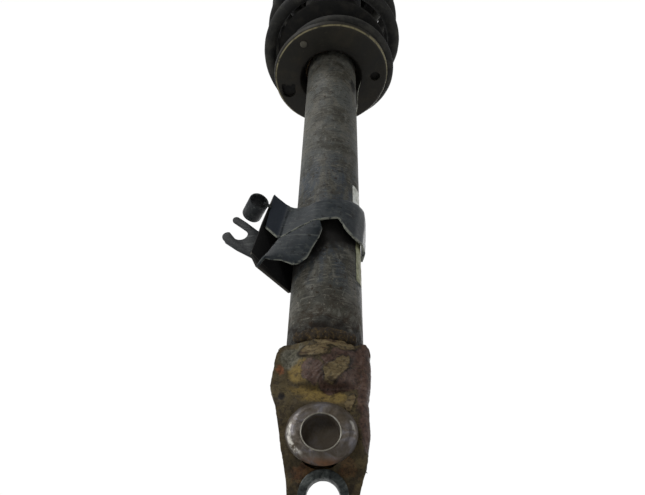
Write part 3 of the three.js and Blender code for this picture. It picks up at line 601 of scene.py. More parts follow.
def paint_look(name, colour, dust, roughness=0.6, dust_amount=0.5, chips=0.3, seed=0.0):
    look = Look(name, roughness)
    cloud = look.noise(14, 6, 0.65, 0.6, seed=seed + 1)
    fine = look.noise(2.5, 6, 0.7, 0.3, seed=seed + 2)
    base = look.mix(look.maths("MULTIPLY", look.between(cloud, 0.4, 0.7), dust_amount), colour, dust)
    base = look.over(base, dust, look.between(fine, 0.58, 0.72), dust_amount)
    chipped = look.spots(0.74 - 0.12 * chips, 0.77 - 0.12 * chips, 3.4, 6, 0.75, 0.5, seed=seed + 3)
    base = look.over(base, (70, 50, 34), chipped)
    worn = look.maths("MULTIPLY", look.edges(0.53, 0.62), 0.5)
    base = look.over(base, (96, 92, 84), worn)
    look.bump(look.noise(1.3, 4, 0.6, seed=seed + 4), 0.3, 0.2)
    look.bump(chipped, -0.3, 0.3)
    level = look.ramp(cloud, (0.3, max(roughness - 0.1, 0.1)), (0.7, min(roughness + 0.15, 1)))
    return look.done(base, level, 0.0)


def sheet_look(name="black_bracket_paint", painted=False, depth=1.0):
    """Satin black paint: dusty grey-blue, scratched, with light worn edges; when painted, it adds painted
    shade over the flange and a painted highlight along the lower rim.
    """
    look = Look(name)
    tones = [tuple(round(c * depth) for c in grey) for grey in ((24, 28, 32), (34, 40, 44), (50, 54, 56))]
    cloud = look.noise(15, 6, 0.65, 0.7, seed=71)
    base = look.ramp(cloud, (0.36, tones[0]), (0.5, tones[1]), (0.63, tones[2]))
    dust = look.noise(4, 6, 0.75, 0.5, seed=72)
    base = look.over(base, (70, 73, 70), look.between(dust, 0.53, 0.64), 0.5)
    slant = look.slanted(-48, (0.3, 1, 3.0))
    streak = look.noise(5, 5, 0.7, 0.9, slant, seed=73)
    base = look.over(base, (86, 89, 86), look.between(streak, 0.57, 0.62), 0.5)
    dents = look.spots(0.58, 0.62, 4.2, 5, 0.75, 0.6, seed=74)
    base = look.over(base, (11, 12, 12), dents, 0.85)
    worn = look.maths("MULTIPLY", look.edges(0.52, 0.6), 0.7)
    base = look.over(base, (74, 78, 76), worn)
    if painted:
        # Painted shade: the flange columns darken towards blue-black.
        base = look.over(base, (20, 26, 34), look.painted("painted_shade"), 0.94)
        # Painted highlight: a broken light strip along the sheet's lower rim.
        broken = look.spots(0.4, 0.5, 5, 5, 0.7, 0.3, seed=76)
        base = look.over(base, (122, 124, 114), look.painted("edge"), broken)
    look.bump(look.noise(1.3, 4, 0.6, seed=75), 0.4, 0.25)
    look.bump(cloud, 0.3, 0.6)
    look.bump(dents, -0.4, 0.3)
    roughness = look.ramp(cloud, (0.35, 0.42), (0.65, 0.62))
    if painted:
        roughness = look.mix(look.painted("painted_shade"), roughness, 0.95)
    return look.done(base, roughness, 0.0)


def rubber_look(name="aged_rubber", colour=(17, 17, 16), dust=(42, 40, 36), seed=0.0):
    look = Look(name, 0.8)
    cloud = look.noise(10, 6, 0.65, 0.4, seed=seed + 1)
    base = look.mix(look.maths("MULTIPLY", look.between(cloud, 0.42, 0.7), 0.7), colour, dust)
    look.bump(look.noise(0.9, 4, 0.6, seed=seed + 2), 0.4, 0.15)
    look.bump(cloud, 0.15, 0.4)
    return look.done(base, look.ramp(cloud, (0.3, 0.68), (0.7, 0.9)))


def weld_look():
    look = Look("rusty_weld", 0.8)
    grain = look.noise(1.8, 6, 0.75, 0.4, seed=3)
    base = look.ramp(grain, (0.35, (14, 10, 6)), (0.5, (40, 31, 19)), (0.66, (92, 76, 48)))
    look.bump(grain, 0.8, 0.8)
    return look.done(base, look.ramp(grain, (0.4, 0.6), (0.6, 0.9)))


def label_look(name="blank_label", pale=(214, 216, 212), middle=(190, 192, 184), dirty=(96, 98, 84)):
    look = Look(name, 0.5)
    dirt = look.noise(5, 6, 0.7, 0.6, seed=5)
    base = look.ramp(dirt, (0.35, pale), (0.55, middle), (0.7, dirty))
    look.bump(dirt, 0.3, 0.15)
    return look.done(base, look.ramp(dirt, (0.3, 0.4), (0.7, 0.7)))


def seat_look():
    look = Look("dusty_seat_paint")
    radius = look.from_axis()
    cloud = look.noise(26, 6, 0.6, 0.8, seed=21)
    fine = look.noise(2.5, 6, 0.7, 0.3, seed=22)
    base = look.ramp(cloud, (0.3, (15, 14, 10)), (0.5, (26, 24, 18)), (0.7, (40, 36, 27)))
    base = look.over(base, (56, 52, 40), look.between(fine, 0.55, 0.75), 0.5)
    # Painted shadow: the pan darkens round its hub, where it meets the tube.
    hub = look.below(radius, 29, 42)
    base = look.over(base, (10, 9, 7), hub, 0.8)
    # Painted highlight: a thin, broken light line along the pan's outer rim, where the upturned lip catches
    # the light.
    outside = look.below(radius, SEAT_R - 1.3, SEAT_R - 0.7)
    rim = look.maths("MULTIPLY", look.between(radius, SEAT_R - 2.4, SEAT_R - 1.7), outside)
    worn = look.maths("MULTIPLY", rim, look.spots(0.3, 0.55, 7, 5, 0.7, 0.5, seed=24))
    base = look.over(base, (116, 109, 82), worn)
    chips = look.spots(0.69, 0.72, 4, 6, 0.75, 0.5, seed=25)
    base = look.over(base, (70, 50, 34), chips)
    look.bump(look.noise(1.3, 4, 0.6, seed=26), 0.3, 0.2)
    look.bump(cloud, 0.15, 0.5)
    return look.done(base, look.ramp(cloud, (0.3, 0.5), (0.7, 0.75)))


# Near-black walls for the blind holes in the spring pad: painted shadow.
def hole_shadow_look():
    look = Look("hole_painted_shadow")
    cloud = look.noise(5, 5, 0.7, 0.4, seed=78)
    base = look.ramp(cloud, (0.4, (2, 2, 2)), (0.66, (10, 9, 7)))
    look.bump(cloud, 0.4, 0.4)
    return look.done(base, 0.95, 0.0, 0.02)


def foam_look():
    look = Look("microcellular_urethane", 0.75)
    cells = look.cells(0.7)
    cloud = look.noise(9, 4, 0.6, seed=4)
    base = look.ramp(cloud, (0.35, (168, 142, 84)), (0.65, (196, 170, 108)))
    look.bump(cells, 0.4, 0.2)
    return look.done(base)


# ------------------------------------------------------- knuckle bracket
TUBE_R, TUBE_WALL = 25.5, 2.0
PLATE = 3.0
REAR_PLATE = 2.6
WRAP_R = 28.9
EYE_X, EYE_Z = 1.0, -1.8
EYE_R, EYE_SLEEVE_R, EYE_SEAT_R, EYE_CUT_R = 8.75, 10.6, 13.0, 10.9
LUG_R = 18.5
BOX_DEPTH = 27.0
BOSS_X, BOSS_Z = -1.0, 26.3
BOSS_TILT = math.radians(11)
BOSS_R, BOSS_BORE_R, SPIGOT_R = 19.7, 10.2, 14.5
BOSS_FACE, BOSS_FLOOR, BOSS_BACK, BOSS_LIP = 34.0, 28.0, 17.5, 27.4
BOSS_FLATTEN = 0.89
BOSS_SHIFT = (0.4, 2.1)
CORNER_R = 6.0
BRACKET_TOP = 84.0


def plate_depth(z):
    low = 25 + 2 * smooth_step(12, 17.5, z)
    return low - 5.5 * smooth_step(44, 60, z)


def front_face(x, z):
    rise = smooth_step(43, 60, z)
    bulge = rise * math.sqrt(max(WRAP_R ** 2 - x ** 2, 0.0))
    flat = plate_depth(z)
    blend = 3.0
    mix = min(max(0.5 + 0.5 * (bulge - flat) / blend, 0.0), 1.0)
    return -(mix * bulge + (1 - mix) * flat + blend * 0.5 * mix * (1 - mix))


def right_side(z):
    return knots([(0, 21), (12, 23.5), (28, 26.4), (40, 26.2), (48, 25.9), (60, 28.4), (90, 28.6)], z)


def left_side(z):
    return knots([(1, -17.4), (24, -22.6), (45, -27.3), (57, -31.4), (79, -29.2), (84, -28.0)], z)


def wall_end(z):
    return knots([(13, -18), (30, -14), (46, -6), (58, 4), (90, 4)], z)


def lug_half_width(z):
    return math.sqrt(max(LUG_R ** 2 - (z - EYE_Z) ** 2, 0.0))


def patch(x, z, centre, radii, turn=0.0, ragged=0.3, grain=7, seed=0.0):
    """Distance from a ragged oval patch on the plate: below 1 is inside it."""
    dx, dz = x - centre[0], z - centre[1]
    c, s = math.cos(turn), math.sin(turn)
    d = math.hypot((dx * c + dz * s) / radii[0], (dz * c - dx * s) / radii[1])
    return d + ragged * rough(x, seed * 13, z, grain, 5)


def inside(distance, soft=0.03):
    return 1 - smooth_step(1 - soft, 1 + soft, distance)


def flakes(x, z):
    """Tan flakes of top coat that still stand."""
    top = patch(x, z, (-6.5, 77.5), (10, 3.8), 0.1, 0.32, 8, 1)
    middle = patch(x, z, (7.5, 66.5), (11.5, 5.2), 0.78, 0.45, 8, 2)
    side = patch(x, z, (14.8, 46.5), (2.4, 5.5), -0.3, 0.4, 6, 3)
    arc = patch(x, z, (7, 82.5), (12, 2.6), -0.08, 0.5, 7, 4)
    return min(top, middle, side, arc)


def bare_primer(x, z):
    """Purple-brown primer where the top coat has gone."""
    lobe = patch(x, z, (-7, 64.5), (6, 8), 0.3, 0.35, 8, 5)
    middle = patch(x, z, (10.5, 60.5), (13.5, 8.5), 0.15, 0.3, 9, 6)
    upper = patch(x, z, (11, 74), (12, 7), 0.2, 0.4, 9, 7)
    right = patch(x, z, (27, 56), (8.5, 34), 0.0, 0.3, 11, 8)
    return min(lobe, middle, upper, right)


def spot_of(x, z, centre, radii, turn, ragged, grain, seed, soft=0.3):
    return inside(patch(x, z, centre, radii, turn, ragged, grain, seed), soft)


def paint_bracket(piece):
    """How far each kind of wear has gone at each vertex of the front plate, with a painted shadow round the
    lifted flake edges.
    """
    names = ("primer", "flake", "dark", "ochre", "green", "rust")
    rows = []
    for vertex in piece.data.vertices:
        x, _, z = vertex.co / MM
        flake, primer = flakes(x, z), bare_primer(x, z)
        # Painted shadow: a dark line round the flakes' lifted edges. It joins the real cracks, stains and
        # pits in the dark values.
        rim = smooth_step(0.86, 0.97, flake) - smooth_step(1.04, 1.22, flake)
        rim *= 0.5 + 0.5 * smooth_step(-0.2, 0.4, rough(x, 31, z, 9, 3))
        crack = 1 - smooth_step(0.0, 0.05, abs(rough(x, 9, z, 8, 5)))
        crack *= smooth_step(-0.05, 0.35, rough(x, 5, z, 20, 3))
        edge = 1 - smooth_step(0.0, 0.07, abs(primer - 1.0))
        low = 1 - smooth_step(6, 24, z)
        stain = smooth_step(0.0, 0.35, rough(x, 17, z, 9, 5)) * low
        pit = spot_of(x, z, (-23.6, 49.5), (2.0, 2.6), 0, 0.5, 3, 9, 0.2)
        dark = max(rim * 0.9, crack * 0.8, edge * 0.45, stain * 0.6, pit)
        ochre = max(spot_of(x, z, (-15.5, 66), (5, 7.5), 0.2, 0.5, 6, 10, 0.25),
                    spot_of(x, z, (-2, 50.5), (18, 4.2), -0.12, 0.5, 6, 11) * 0.9)
        green = spot_of(x, z, (-20.8, 75), (7.5, 7), 0, 0.5, 6, 12)
        rust = max(spot_of(x, z, (-26.1, 66.6), (2.6, 2.6), 0, 0.6, 3, 13) * 0.75,
                   spot_of(x, z, (-9, 10), (7, 3.5), 0.4, 0.7, 4, 14) * 0.27,
                   spot_of(x, z, (14, 12), (4, 5), 0.4, 0.7, 4, 15) * 0.21)
        rows.append((inside(primer, 0.05), inside(flake), dark, ochre, green, rust))
    for name, values in zip(names, zip(*rows)):
        paint(piece, name, values)


def bracket_relief(x, y, z, normal):
    if normal.y > 0.3:
        return 0.0
    flake = flakes(x, z)
    raised = 0.5 * inside(flake) + 0.3 * (smooth_step(0.7, 0.96, flake) - smooth_step(0.98, 1.0, flake))
    across = (z - 66.5) * 0.71 - (x - 7.5) * 0.7
    stripes = 0.14 * math.sin(across * 2.6 + 3 * rough(x, 2, z, 10, 2)) * inside(
        patch(x, z, (5, 66), (13, 9), 0.78, 0.2, 8, 2), 0.3)
    sunk = -0.3 * inside(bare_primer(x, z), 0.08)
    crust = 0.4 * rough(x, y, z, 7, 5) + 0.16 * rough(x, y, z, 1.8, 3)
    return raised + stripes + sunk + crust


def shell(name, points, columns, look, node, way, thickness):
    """Half of the bracket from rows of points; way is -1 for a front that looks along -Y."""
    rows = len(points) // columns
    piece = mesh_object(name, points, grid_faces(rows, columns), look, BODY, (node,), 50)
    outward(piece)
    if sum(p.normal.y * p.area for p in piece.data.polygons) * way < 0:
        piece.data.flip_normals()
    thicken(piece, thickness, -1)
    cut_with(piece, cylinder_cutter(EYE_CUT_R, (EYE_X, -60, EYE_Z), (EYE_X, 40, EYE_Z)))
    return piece


def lug_heights(count):
    return [EYE_Z - LUG_R * math.cos(a) for a in np.linspace(0.17, math.pi / 2, count)]


def crowned(x, z):
    """Lifts the plate's top rows to its uneven upper edge."""
    base = BRACKET_TOP - 6
    if z <= base:
        return z
    rise = knots([(-31, -5.5), (-28.5, -3), (-25, -0.6), (-17, 0), (19, 0), (22, 1.6), (25.5, 1.8),
                  (27.5, -0.4), (28.7, -4.5)], x)
    return base + (rise + 6) * min((z - base) / 9.0, 1.0)


def front_shell(look):
    """The front plate with its right side wall, from rows of points right to left."""
    step, columns = 0.55, 124
    side, bend = 0.16, 0.26
    points = []
    for z in lug_heights(34) + list(np.arange(EYE_Z + step, BRACKET_TOP + 3, step)):
        if z < 1:
            left, right, corner = EYE_X - lug_half_width(z), EYE_X + lug_half_width(z), 0.05
        else:
            left = left_side(z)
            lug = EYE_X + LUG_R + 0.36 * (z - 1)
            corner = CORNER_R * smooth_step(6, 22, z) + 0.05
            right = min(lug, right_side(z)) if z < 12 else right_side(z)
        start = -(plate_depth(z) - corner)
        end = start + 0.02 + max(wall_end(z) - start, 0.6) * smooth_step(7, 21, z)
        for t in np.linspace(0, 1, columns):
            if t < side:
                x, y = right, end + (start - end) * t / side
            elif t < bend:
                angle = (t - side) / (bend - side) * math.pi / 2
                x, y = right - corner + corner * math.cos(angle), start - corner * math.sin(angle)
            else:
                x = right - corner + (left - right + corner) * (t - bend) / (1 - bend)
                y = front_face(x, z)
            points.append((x, y, crowned(x, z)))
    piece = shell("bracket_front", points, columns, look, "bracket_front_shell", -1, PLATE)
    place = facing_front(BOSS_X, BOSS_Z, BOSS_TILT)
    near, far = place @ Vector((0, 0, 12)), place @ Vector((0, 0, 48))
    cut_with(piece, cylinder_cutter(SPIGOT_R + 0.4, near, far))
    bevel(piece, 0.5, 2, 55)
    displace(piece, bracket_relief)
    paint_bracket(piece)
    soften(piece, 55)


def rear_outline(z):
    """Left wall, back and right wall of the box section behind the front plate."""
    back = knots([(11, -18.7), (20, -7), (34, 4), (50, 22), (58, WRAP_R)], z)
    left = -knots([(11, 19.2), (16, 20.6), (25, 22), (45, 26), (58, WRAP_R)], z)
    right = knots([(11, 21.8), (16, 23), (28, 26), (52, 26.1), (60, WRAP_R)], z)
    if z < 11:
        lug = lug_half_width(min(z, EYE_Z))
        above = max(z - EYE_Z, 0.0)
        left = EYE_X - lug - 0.133 * above
        right = EYE_X + lug + 0.18 * above
    corner = knots([(10, 0.4), (16, 5), (40, 9), (58, WRAP_R)], z)
    front_left = -(plate_depth(z) - PLATE - 0.3)
    front_right = max(wall_end(z), front_left) + 0.4 if z > 11 else front_left
    return left, right, back, corner, front_left, front_right


def rear_shell(look):
    """Left wall, back and right wall, joined by round corners, from rows of points."""
    columns = 96
    points = []
    for z in lug_heights(20) + list(np.arange(EYE_Z + 1.0, 82.4, 1.0)):
        left, right, back, corner, front_left, front_right = rear_outline(z)
        corner = min(corner, (right - left) / 2)
        side_left = max(back - corner, front_left + 0.02)
        side_right = max(back - corner, front_right + 0.02)
        for t in np.linspace(0, 1, columns):
            if t < 0.2:
                x, y = left, front_left + (side_left - front_left) * t / 0.2
            elif t < 0.45:
                angle = math.pi - (t - 0.2) / 0.25 * math.pi / 2
                x = left + corner + corner * math.cos(angle)
                y = side_left + (back - side_left) * math.sin(angle)
            elif t < 0.55:
                x, y = left + corner + (right - left - 2 * corner) * (t - 0.45) / 0.1, back
            elif t < 0.8:
                angle = math.pi / 2 - (t - 0.55) / 0.25 * math.pi / 2
                x = right - corner + corner * math.cos(angle)
                y = side_right + (back - side_right) * math.sin(angle)
            else:
                x, y = right, side_right + (front_right - side_right) * (t - 0.8) / 0.2
            points.append((x, y, z))
    piece = shell("bracket_rear", points, columns, look, "bracket_rear_shell", 1, REAR_PLATE)
    bevel(piece, 0.5, 2, 55)
    roughen(piece, (0.3, 7, 5), (0.1, 1.8, 3))
    soften(piece, 55)


def paint_boss_highlights(piece):
    """Painted highlights: bright crescents on the boss's round shoulder, each given as angle, half width,
    radii.
    """
    bright = ((198, 42, 16.2, 19.0, 0.78), (14, 13, 15.8, 18.2, 0.7))
    values = np.zeros(len(piece.data.vertices))
    for i, vertex in enumerate(piece.data.vertices):
        x, y, z = vertex.co / MM
        lean = (y + BOSS_FACE) * 0.19
        dx, dz = x - BOSS_X - BOSS_SHIFT[0], (z - BOSS_Z - BOSS_SHIFT[1] + lean) / BOSS_FLATTEN
        r, angle = math.hypot(dx, dz), math.degrees(math.atan2(dz, dx))
        for middle, half, low, high, amount in bright:
            off = abs((angle - middle + 180) % 360 - 180) / half
            across = smooth_step(low, low + 1.0, r) * (1 - smooth_step(high - 0.8, high, r))
            values[i] = max(values[i], amount * across * (1 - smooth_step(0.6, 1.0, off)))
    paint(piece, "painted_highlight", values)


def boss_and_bush(steel, bush_steel):
    bore, face, floor = BOSS_BORE_R, BOSS_FACE, BOSS_FLOOR
    place = facing_front(BOSS_X, BOSS_Z, BOSS_TILT)
    shoulder = [(BOSS_R - 5.5 + 5.5 * math.cos(a), face - 5.0 + 5.0 * math.sin(a))
                for a in np.linspace(0, math.pi / 2, 16)]
    squash = Matrix.Translation((*BOSS_SHIFT, 0)) @ Matrix.Diagonal((1, BOSS_FLATTEN, 1, 1))
    outside = [(0, BOSS_BACK), (SPIGOT_R, BOSS_BACK), (SPIGOT_R, BOSS_LIP), (BOSS_R, BOSS_LIP)]
    boss = turned("boss", outside + shoulder + [(0, face)], steel, BODY, ("boss_ring",), 0.3, 192,
                  place @ squash)
    bore_points = [(0, floor - 0.3), (bore - 1.4, floor), (bore - 0.5, floor + 0.3), (bore, floor + 1.0),
                   (bore, face - 0.55), (bore + 0.25, face - 0.1), (bore + 0.25, face + 2), (0, face + 2)]
    cutter = turned("cutter", bore_points, bore_look(), None, (), 0, 192, place)
    cut_with(boss, cutter)
    bevel(boss, 0.2, 2, 40)
    roughen(boss, (0.22, 7, 4), (0.06, 1.5, 2))
    paint_boss_highlights(boss)
    soften(boss, 50)
    rim_look = metal_look("bright_rim", (150, 148, 140), (112, 106, 92), 0.35, 0.5)
    edge = [(bore + 0.1, face - 0.5), (bore + 0.8, face - 0.5), (bore + 0.85, face + 0.15),
            (bore + 0.45, face + 0.4), (bore + 0.1, face + 0.15)]
    rim = turned("boss_bore_rim", edge, rim_look, BODY, (), 0.15, 160, place)
    roughen(rim, (0.12, 4, 4))
    back, step, front = 18.3, 25.2, 26.3
    seat = [(EYE_R, back), (EYE_SLEEVE_R, back), (EYE_SLEEVE_R, step), (EYE_SEAT_R, step),
            (EYE_SEAT_R, front), (EYE_R, front)]
    bush = turned("eye_bush", seat, bush_steel, BODY, ("lower_eye_bush",), 0.5, 160,
                  facing_front(EYE_X, EYE_Z))
    roughen(bush, (0.12, 4, 4))


def bead(name, look, node, radius, height, width, tall, span=math.pi):
    """A weld bead round the tube: overlapping ripples along an arc."""
    steps, around, middle, ripples = int(260 * span / math.pi), 18, -math.pi / 2, 1.1
    points = []
    for i in range(steps + 1):
        t = i / steps
        angle = middle + (t - 0.5) * 2 * span
        taper = min(1.0, 12 * min(t, 1 - t) + 0.25) if span < math.pi else 1.0
        ripple = 1 + 0.04 * math.cos(angle * radius / ripples * 2 * math.pi / 3.4)
        lump = 1 + 0.25 * noise.noise(Vector((angle * 7, height * 0.1, 2)))
        for j in range(around):
            turn = 2 * math.pi * j / around
            r = radius + 0.5 * width * math.cos(turn) * ripple * lump * taper
            z = height + 0.5 * tall * math.sin(turn) * ripple * taper
            z += 0.5 * noise.noise(Vector((angle * 9, 5, 1)))
            points.append((r * math.cos(angle), r * math.sin(angle), z))
    faces = grid_faces(steps + 1, around, wrap_columns=True)
    if span < math.pi:
        faces += [tuple(range(around))[::-1], tuple(range(steps * around, (steps + 1) * around))]
    piece = mesh_object(name, points, faces, look, BODY, (node,), 60)
    outward(piece)
    roughen(piece, (1.1, 4.5, 4), (0.4, 1.6, 3))
    soften(piece, 60)


# ---------------------------------------------------------- hose bracket
def folded_sheet(name, corners, look, thickness, bend=1.6):
    """One wall of sheet metal through the corners in turn, creased where they leave a plane."""
    piece = mesh_object(name, corners, [tuple(range(len(corners)))], look, BODY, (), 40)
    work = bmesh.new()
    work.from_mesh(piece.data)
    bmesh.ops.triangulate(work, faces=[f for f in work.faces if len(f.verts) > 4])
    bmesh.ops.recalc_face_normals(work, faces=work.faces)
    folds = [e for e in work.edges if len(e.link_faces) == 2
             and e.calc_face_angle(0.0) > math.radians(9)]
    bmesh.ops.bevel(work, geom=folds, offset=bend * MM, segments=4, profile=0.5, affect="EDGES",
                    clamp_overlap=True)
    work.to_mesh(piece.data)
    work.free()
    wall = piece.modifiers.new("wall", "SOLIDIFY")
    wall.thickness = thickness * MM
    wall.offset = 0
    wall.use_even_offset = True
    bake_modifiers(piece)
    bevel(piece, 0.4, 2, 50)
    soften(piece, 40)
    return piece


# ------------------------------------------------------------- the pieces
def build():
    grey = tube_look()
    flaking = bracket_look()
    flaking_back = bracket_look("flaking_paint_back", use_wear=False)
    steel = boss_look()
    weld = weld_look()
    sheet_paint = sheet_look(painted=True)
    # A darker copy of the sheet paint for the hook plate and the cable clip: painted shade.
    shaded_hook_paint = sheet_look("hook_clip_painted_shade", depth=0.62)
    # Near-black paint for the bracket's inner side wall: painted shade where the fold and the leaf keep it
    # in shadow.
    wall_shade_paint = paint_look("inside_wall_painted_shade", (9, 9, 9), (16, 16, 15), 0.8, 0.5, 0.0, 10)
    rivet = paint_look("dusty_rivet", (62, 60, 52), (96, 92, 80), 0.6, 0.6, 0.1, 30)
    seat_paint = seat_look()
    spring_paint = paint_look("dusty_spring_coating", (22, 22, 21), (58, 57, 52), 0.75, 0.8, 0.2, 40)
    rubber = rubber_look()
    label = label_look()
    old_label = label_look("old_label", (148, 150, 120), (112, 112, 84), (70, 66, 46))
    foam = foam_look()
    zinc = metal_look("zinc_plate", (178, 172, 152), (128, 122, 104), 0.38, 0.85, rust=0.4)
    chrome = metal_look("chromed_rod", (205, 208, 212), (186, 190, 196), 0.1, 1.0, 3.0, (1, 1, 0.1))
    machined = metal_look("machined_steel", (150, 152, 156), (118, 120, 124), 0.32, 0.95, 0.8, (1, 1, 6))
    nylon = paint_look("grey_nylon", (62, 62, 64), (88, 86, 82), 0.45, 0.35, 0.0, 60)

    # Tube, bracket and welds
    bore, low, high = TUBE_R - TUBE_WALL, 58, 478
    outside = [(TUBE_R, z) for z in [low, *np.arange(low + 2, high - 1, 2.0), high]]
    tube = turned("tube", [(bore, low)] + outside + [(bore, high)], grey, BODY, ("outer_tube",), 0, 160)
    grime_and_shadow_on_tube(tube)
    front_shell(flaking)
    rear_shell(flaking_back)
    boss_and_bush(steel, bush_look())
    bead("bracket_weld", weld, "bracket_weld_bead", radius=27.1, height=88.8, width=5.0, tall=8.4,
         span=0.80)
    bead("seat_weld", weld, "seat_weld_bead", radius=27.2, height=426.8, width=2.8, tall=9.0)

    hose_pieces(sheet_paint, wall_shade_paint, shaded_hook_paint)
    seat_pieces(seat_paint, rubber, rivet)
    spring_wire(spring_paint)
    dust_boot(rubber)
    label_pieces(label, old_label)
    foil_strip(label_look("torn_film", (150, 150, 142), (122, 122, 112), (84, 82, 70)))
    top_pieces(seat_paint, rubber, nylon, foam, zinc, chrome, machined)
    internal_pieces(machined, rubber, nylon, foam, zinc, chrome)


SHEET = 1.8
# Upper and lower edge of the sheet, from the flange on the left round to the right side.
SHEET_TOP = [(-43.9, -14, 220.6), (-30.2, -20, 202.2), (-25.7, -20.6, 199.8), (-17, -21.8, 200),
             (-9, -26, 201.5), (0, -27.4, 203), (8.5, -26, 205.3), (17.5, -21.2, 207.5),
             (22.5, -15.4, 209.5), (26.3, -7.2, 212.5), (27.2, 0, 216), (25.8, 8.8, 218)]
SHEET_LOW = [(-45.6, -24, 176.7), (-34.4, -29, 162), (-28.5, -29.8, 166.2), (-19, -30.8, 173),
             (-9.5, -31.5, 178.4), (-1, -31.6, 180.6), (7.6, -31, 182), (13.3, -29, 172.2),
             (18.6, -25.5, 168), (24.7, -17, 169), (28.1, -4, 171), (26.9, 8.5, 172)]
LEAF_FOLD = [(-48, -27, 139.7), (-41, -28, 150.8), (-34.4, -29, 162), (-22, -30.2, 170.2),
             (-9.5, -31.5, 178.4), (-6, -31.6, 178)]
LEAF_RIM = [(-47.6, -27, 139.3), (-42.9, -28, 147.7), (-38.7, -28, 145.2), (-30.7, -28.2, 144.5),
            (-24.1, -28.2, 141.2), (-19.8, -28.4, 141.5), (-13.7, -29, 146.6), (-10.6, -30, 154.7),
            (-6, -30.6, 164.8), (-4.6, -31.2, 171.5)]


# The side wall: flange tip, back top, back bottom, tab, its side, the fold's tip, low edge, side edge.
WALL_CORNERS = [(-43.9, -14, 220.6), (-28, 3, 205), (-25.5, 2, 141), (-26.4, 0, 136.5), (-29.5, -3, 139),
                (-48, -27, 139.7), (-53.9, -24, 152.6), (-49, -22, 183.3)]


def along(line, count):
    """Evenly spaced points along a line of corners."""
    line = np.array(line, float)
    steps = np.r_[0, np.cumsum(np.linalg.norm(np.diff(line, axis=0), axis=1))]
    at = np.linspace(0, steps[-1], count)
    return np.stack([np.interp(at, steps, line[:, k]) for k in range(3)], axis=1)


def relax(points, rounds):
    for _ in range(rounds):
        points[1:-1] = (points[:-2] + 2 * points[1:-1] + points[2:]) / 4
    return points


def sheet_piece(name, rows, look, thickness, replaces, edge=0.5, painted_shade_columns=-2):
    count = len(rows[0])
    points = [tuple(p) for row in rows for p in row]
    piece = mesh_object(name, points, grid_faces(len(rows), count), look, BODY, replaces, 45)
    last = len(rows) - 1
    # The edge values mark the lower rim for a painted highlight, and the other values mark the flange
    # columns for painted shade.
    for label, value in (("edge", lambda i, j: max(0.0, 1 - 0.6 * (last - i))),
                         ("painted_shade", lambda i, j: 1 - smooth_step(painted_shade_columns - 2, painted_shade_columns + 1, j))):
        paint(piece, label, [value(i, j) for i in range(last + 1) for j in range(count)])
    thicken(piece, thickness, 0)
    bevel(piece, edge, 3, 50)
    roughen(piece, (0.16, 12, 3), (0.04, 2, 2))
    soften(piece, 45)
    return piece


def hose_pieces(paint, wall_shade_black, shaded_hook_paint):
    top, low = [], []
    for i in range(len(SHEET_TOP) - 1):
        steps = 16 if i == 0 else 12
        for k in range(steps):
            t = k / steps
            top.append((1 - t) * np.array(SHEET_TOP[i], float) + t * np.array(SHEET_TOP[i + 1], float))
            low.append((1 - t) * np.array(SHEET_LOW[i], float) + t * np.array(SHEET_LOW[i + 1], float))
    top.append(np.array(SHEET_TOP[-1], float))
    low.append(np.array(SHEET_LOW[-1], float))
    top, low = relax(np.array(top), 8), relax(np.array(low), 6)
    rows = []
    for v in np.linspace(0, 1, 44):
        row = []
        for j in range(len(top)):
            x, y, z = (1 - v) * top[j] + v * low[j]
            place = (j - 16) / 12
            if place >= 0:
                swell = knots([(0, 0), (1, 0), (3, 0.4), (6, 0.5), (8, 1), (10, 0.8)], place)
                radius = math.hypot(x, y)
                grown = max(radius + 2.2 * swell * math.sin(math.pi * math.sqrt(v)), 26.75) / radius
                x, y = x * grown, y * grown
            groove = math.exp(-((place + 0.02) / 0.16) ** 2) * (0.4 + 0.6 * v)
            row.append((x, y - 0.9 * groove, z))
        rows.append(row)
    sheet_piece("hose_bracket_sheet", rows, paint, SHEET, ("hose_bracket",), 0.4, painted_shade_columns=16)

    fold = relax(along(LEAF_FOLD, 70), 3)
    rim = relax(along(LEAF_RIM, 70), 3)
    rows = []
    for v in np.linspace(0, 1, 26):
        row = []
        for f, r in zip(fold, rim):
            p = (1 - v) * f + v * r
            reach = np.linalg.norm(r - f)
            p[1] -= 0.045 * reach * math.sin(math.pi * v) - 0.8 * v ** 6
            row.append(p)
        rows.append(row)
    sheet_piece("hose_bracket_leaf", rows, paint, 1.7, (), 0.5)

    # The inner side wall takes the near-black paint, as painted shade.
    wall = folded_sheet("hose_bracket_wall", WALL_CORNERS, wall_shade_black, SHEET)
    roughen(wall, (0.08, 9, 3))
    # The hook plate and the cable clip take the darker copy of the sheet paint, as painted shade.
    hook(shaded_hook_paint)
    place = (Matrix.Translation((-53.2, -24, 204.1)) @ Matrix.Rotation(0.44, 4, "Z")
             @ Matrix.Rotation(-math.pi / 2, 4, "X"))
    bore, outer, length = 6.4, 7.8, 17.5
    ring = turned("cable_clip_ring", box_section(bore, outer, 0, length), shaded_hook_paint, BODY,
                  ("cable_ring",), 0.5, 96, place)
    roughen(ring, (0.12, 8, 3))
    start, end = Vector((-49.5, -23.2, 202.6)), Vector((-44.0, -18.0, 203.2))
    turn = (end - start).to_track_quat("Z", "Y").to_matrix().to_4x4()
    length, radius = (end - start).length, 1.3
    turned("cable_clip_pin", box_section(0, radius, 0, length), shaded_hook_paint, BODY, (), 0.5, 32,
           Matrix.Translation(start) @ turn)


def box_section(inner, outer, low, high):
    """A plain ring's outline for turned()."""
    return [(inner, low), (outer, low), (outer, high), (inner, high)]


def arc(centre, radius, start, end, count):
    """Points (x, z) along an arc; angles in degrees."""
    return [(centre[0] + radius * math.cos(a), centre[1] + radius * math.sin(a))
            for a in np.linspace(math.radians(start), math.radians(end), count)]


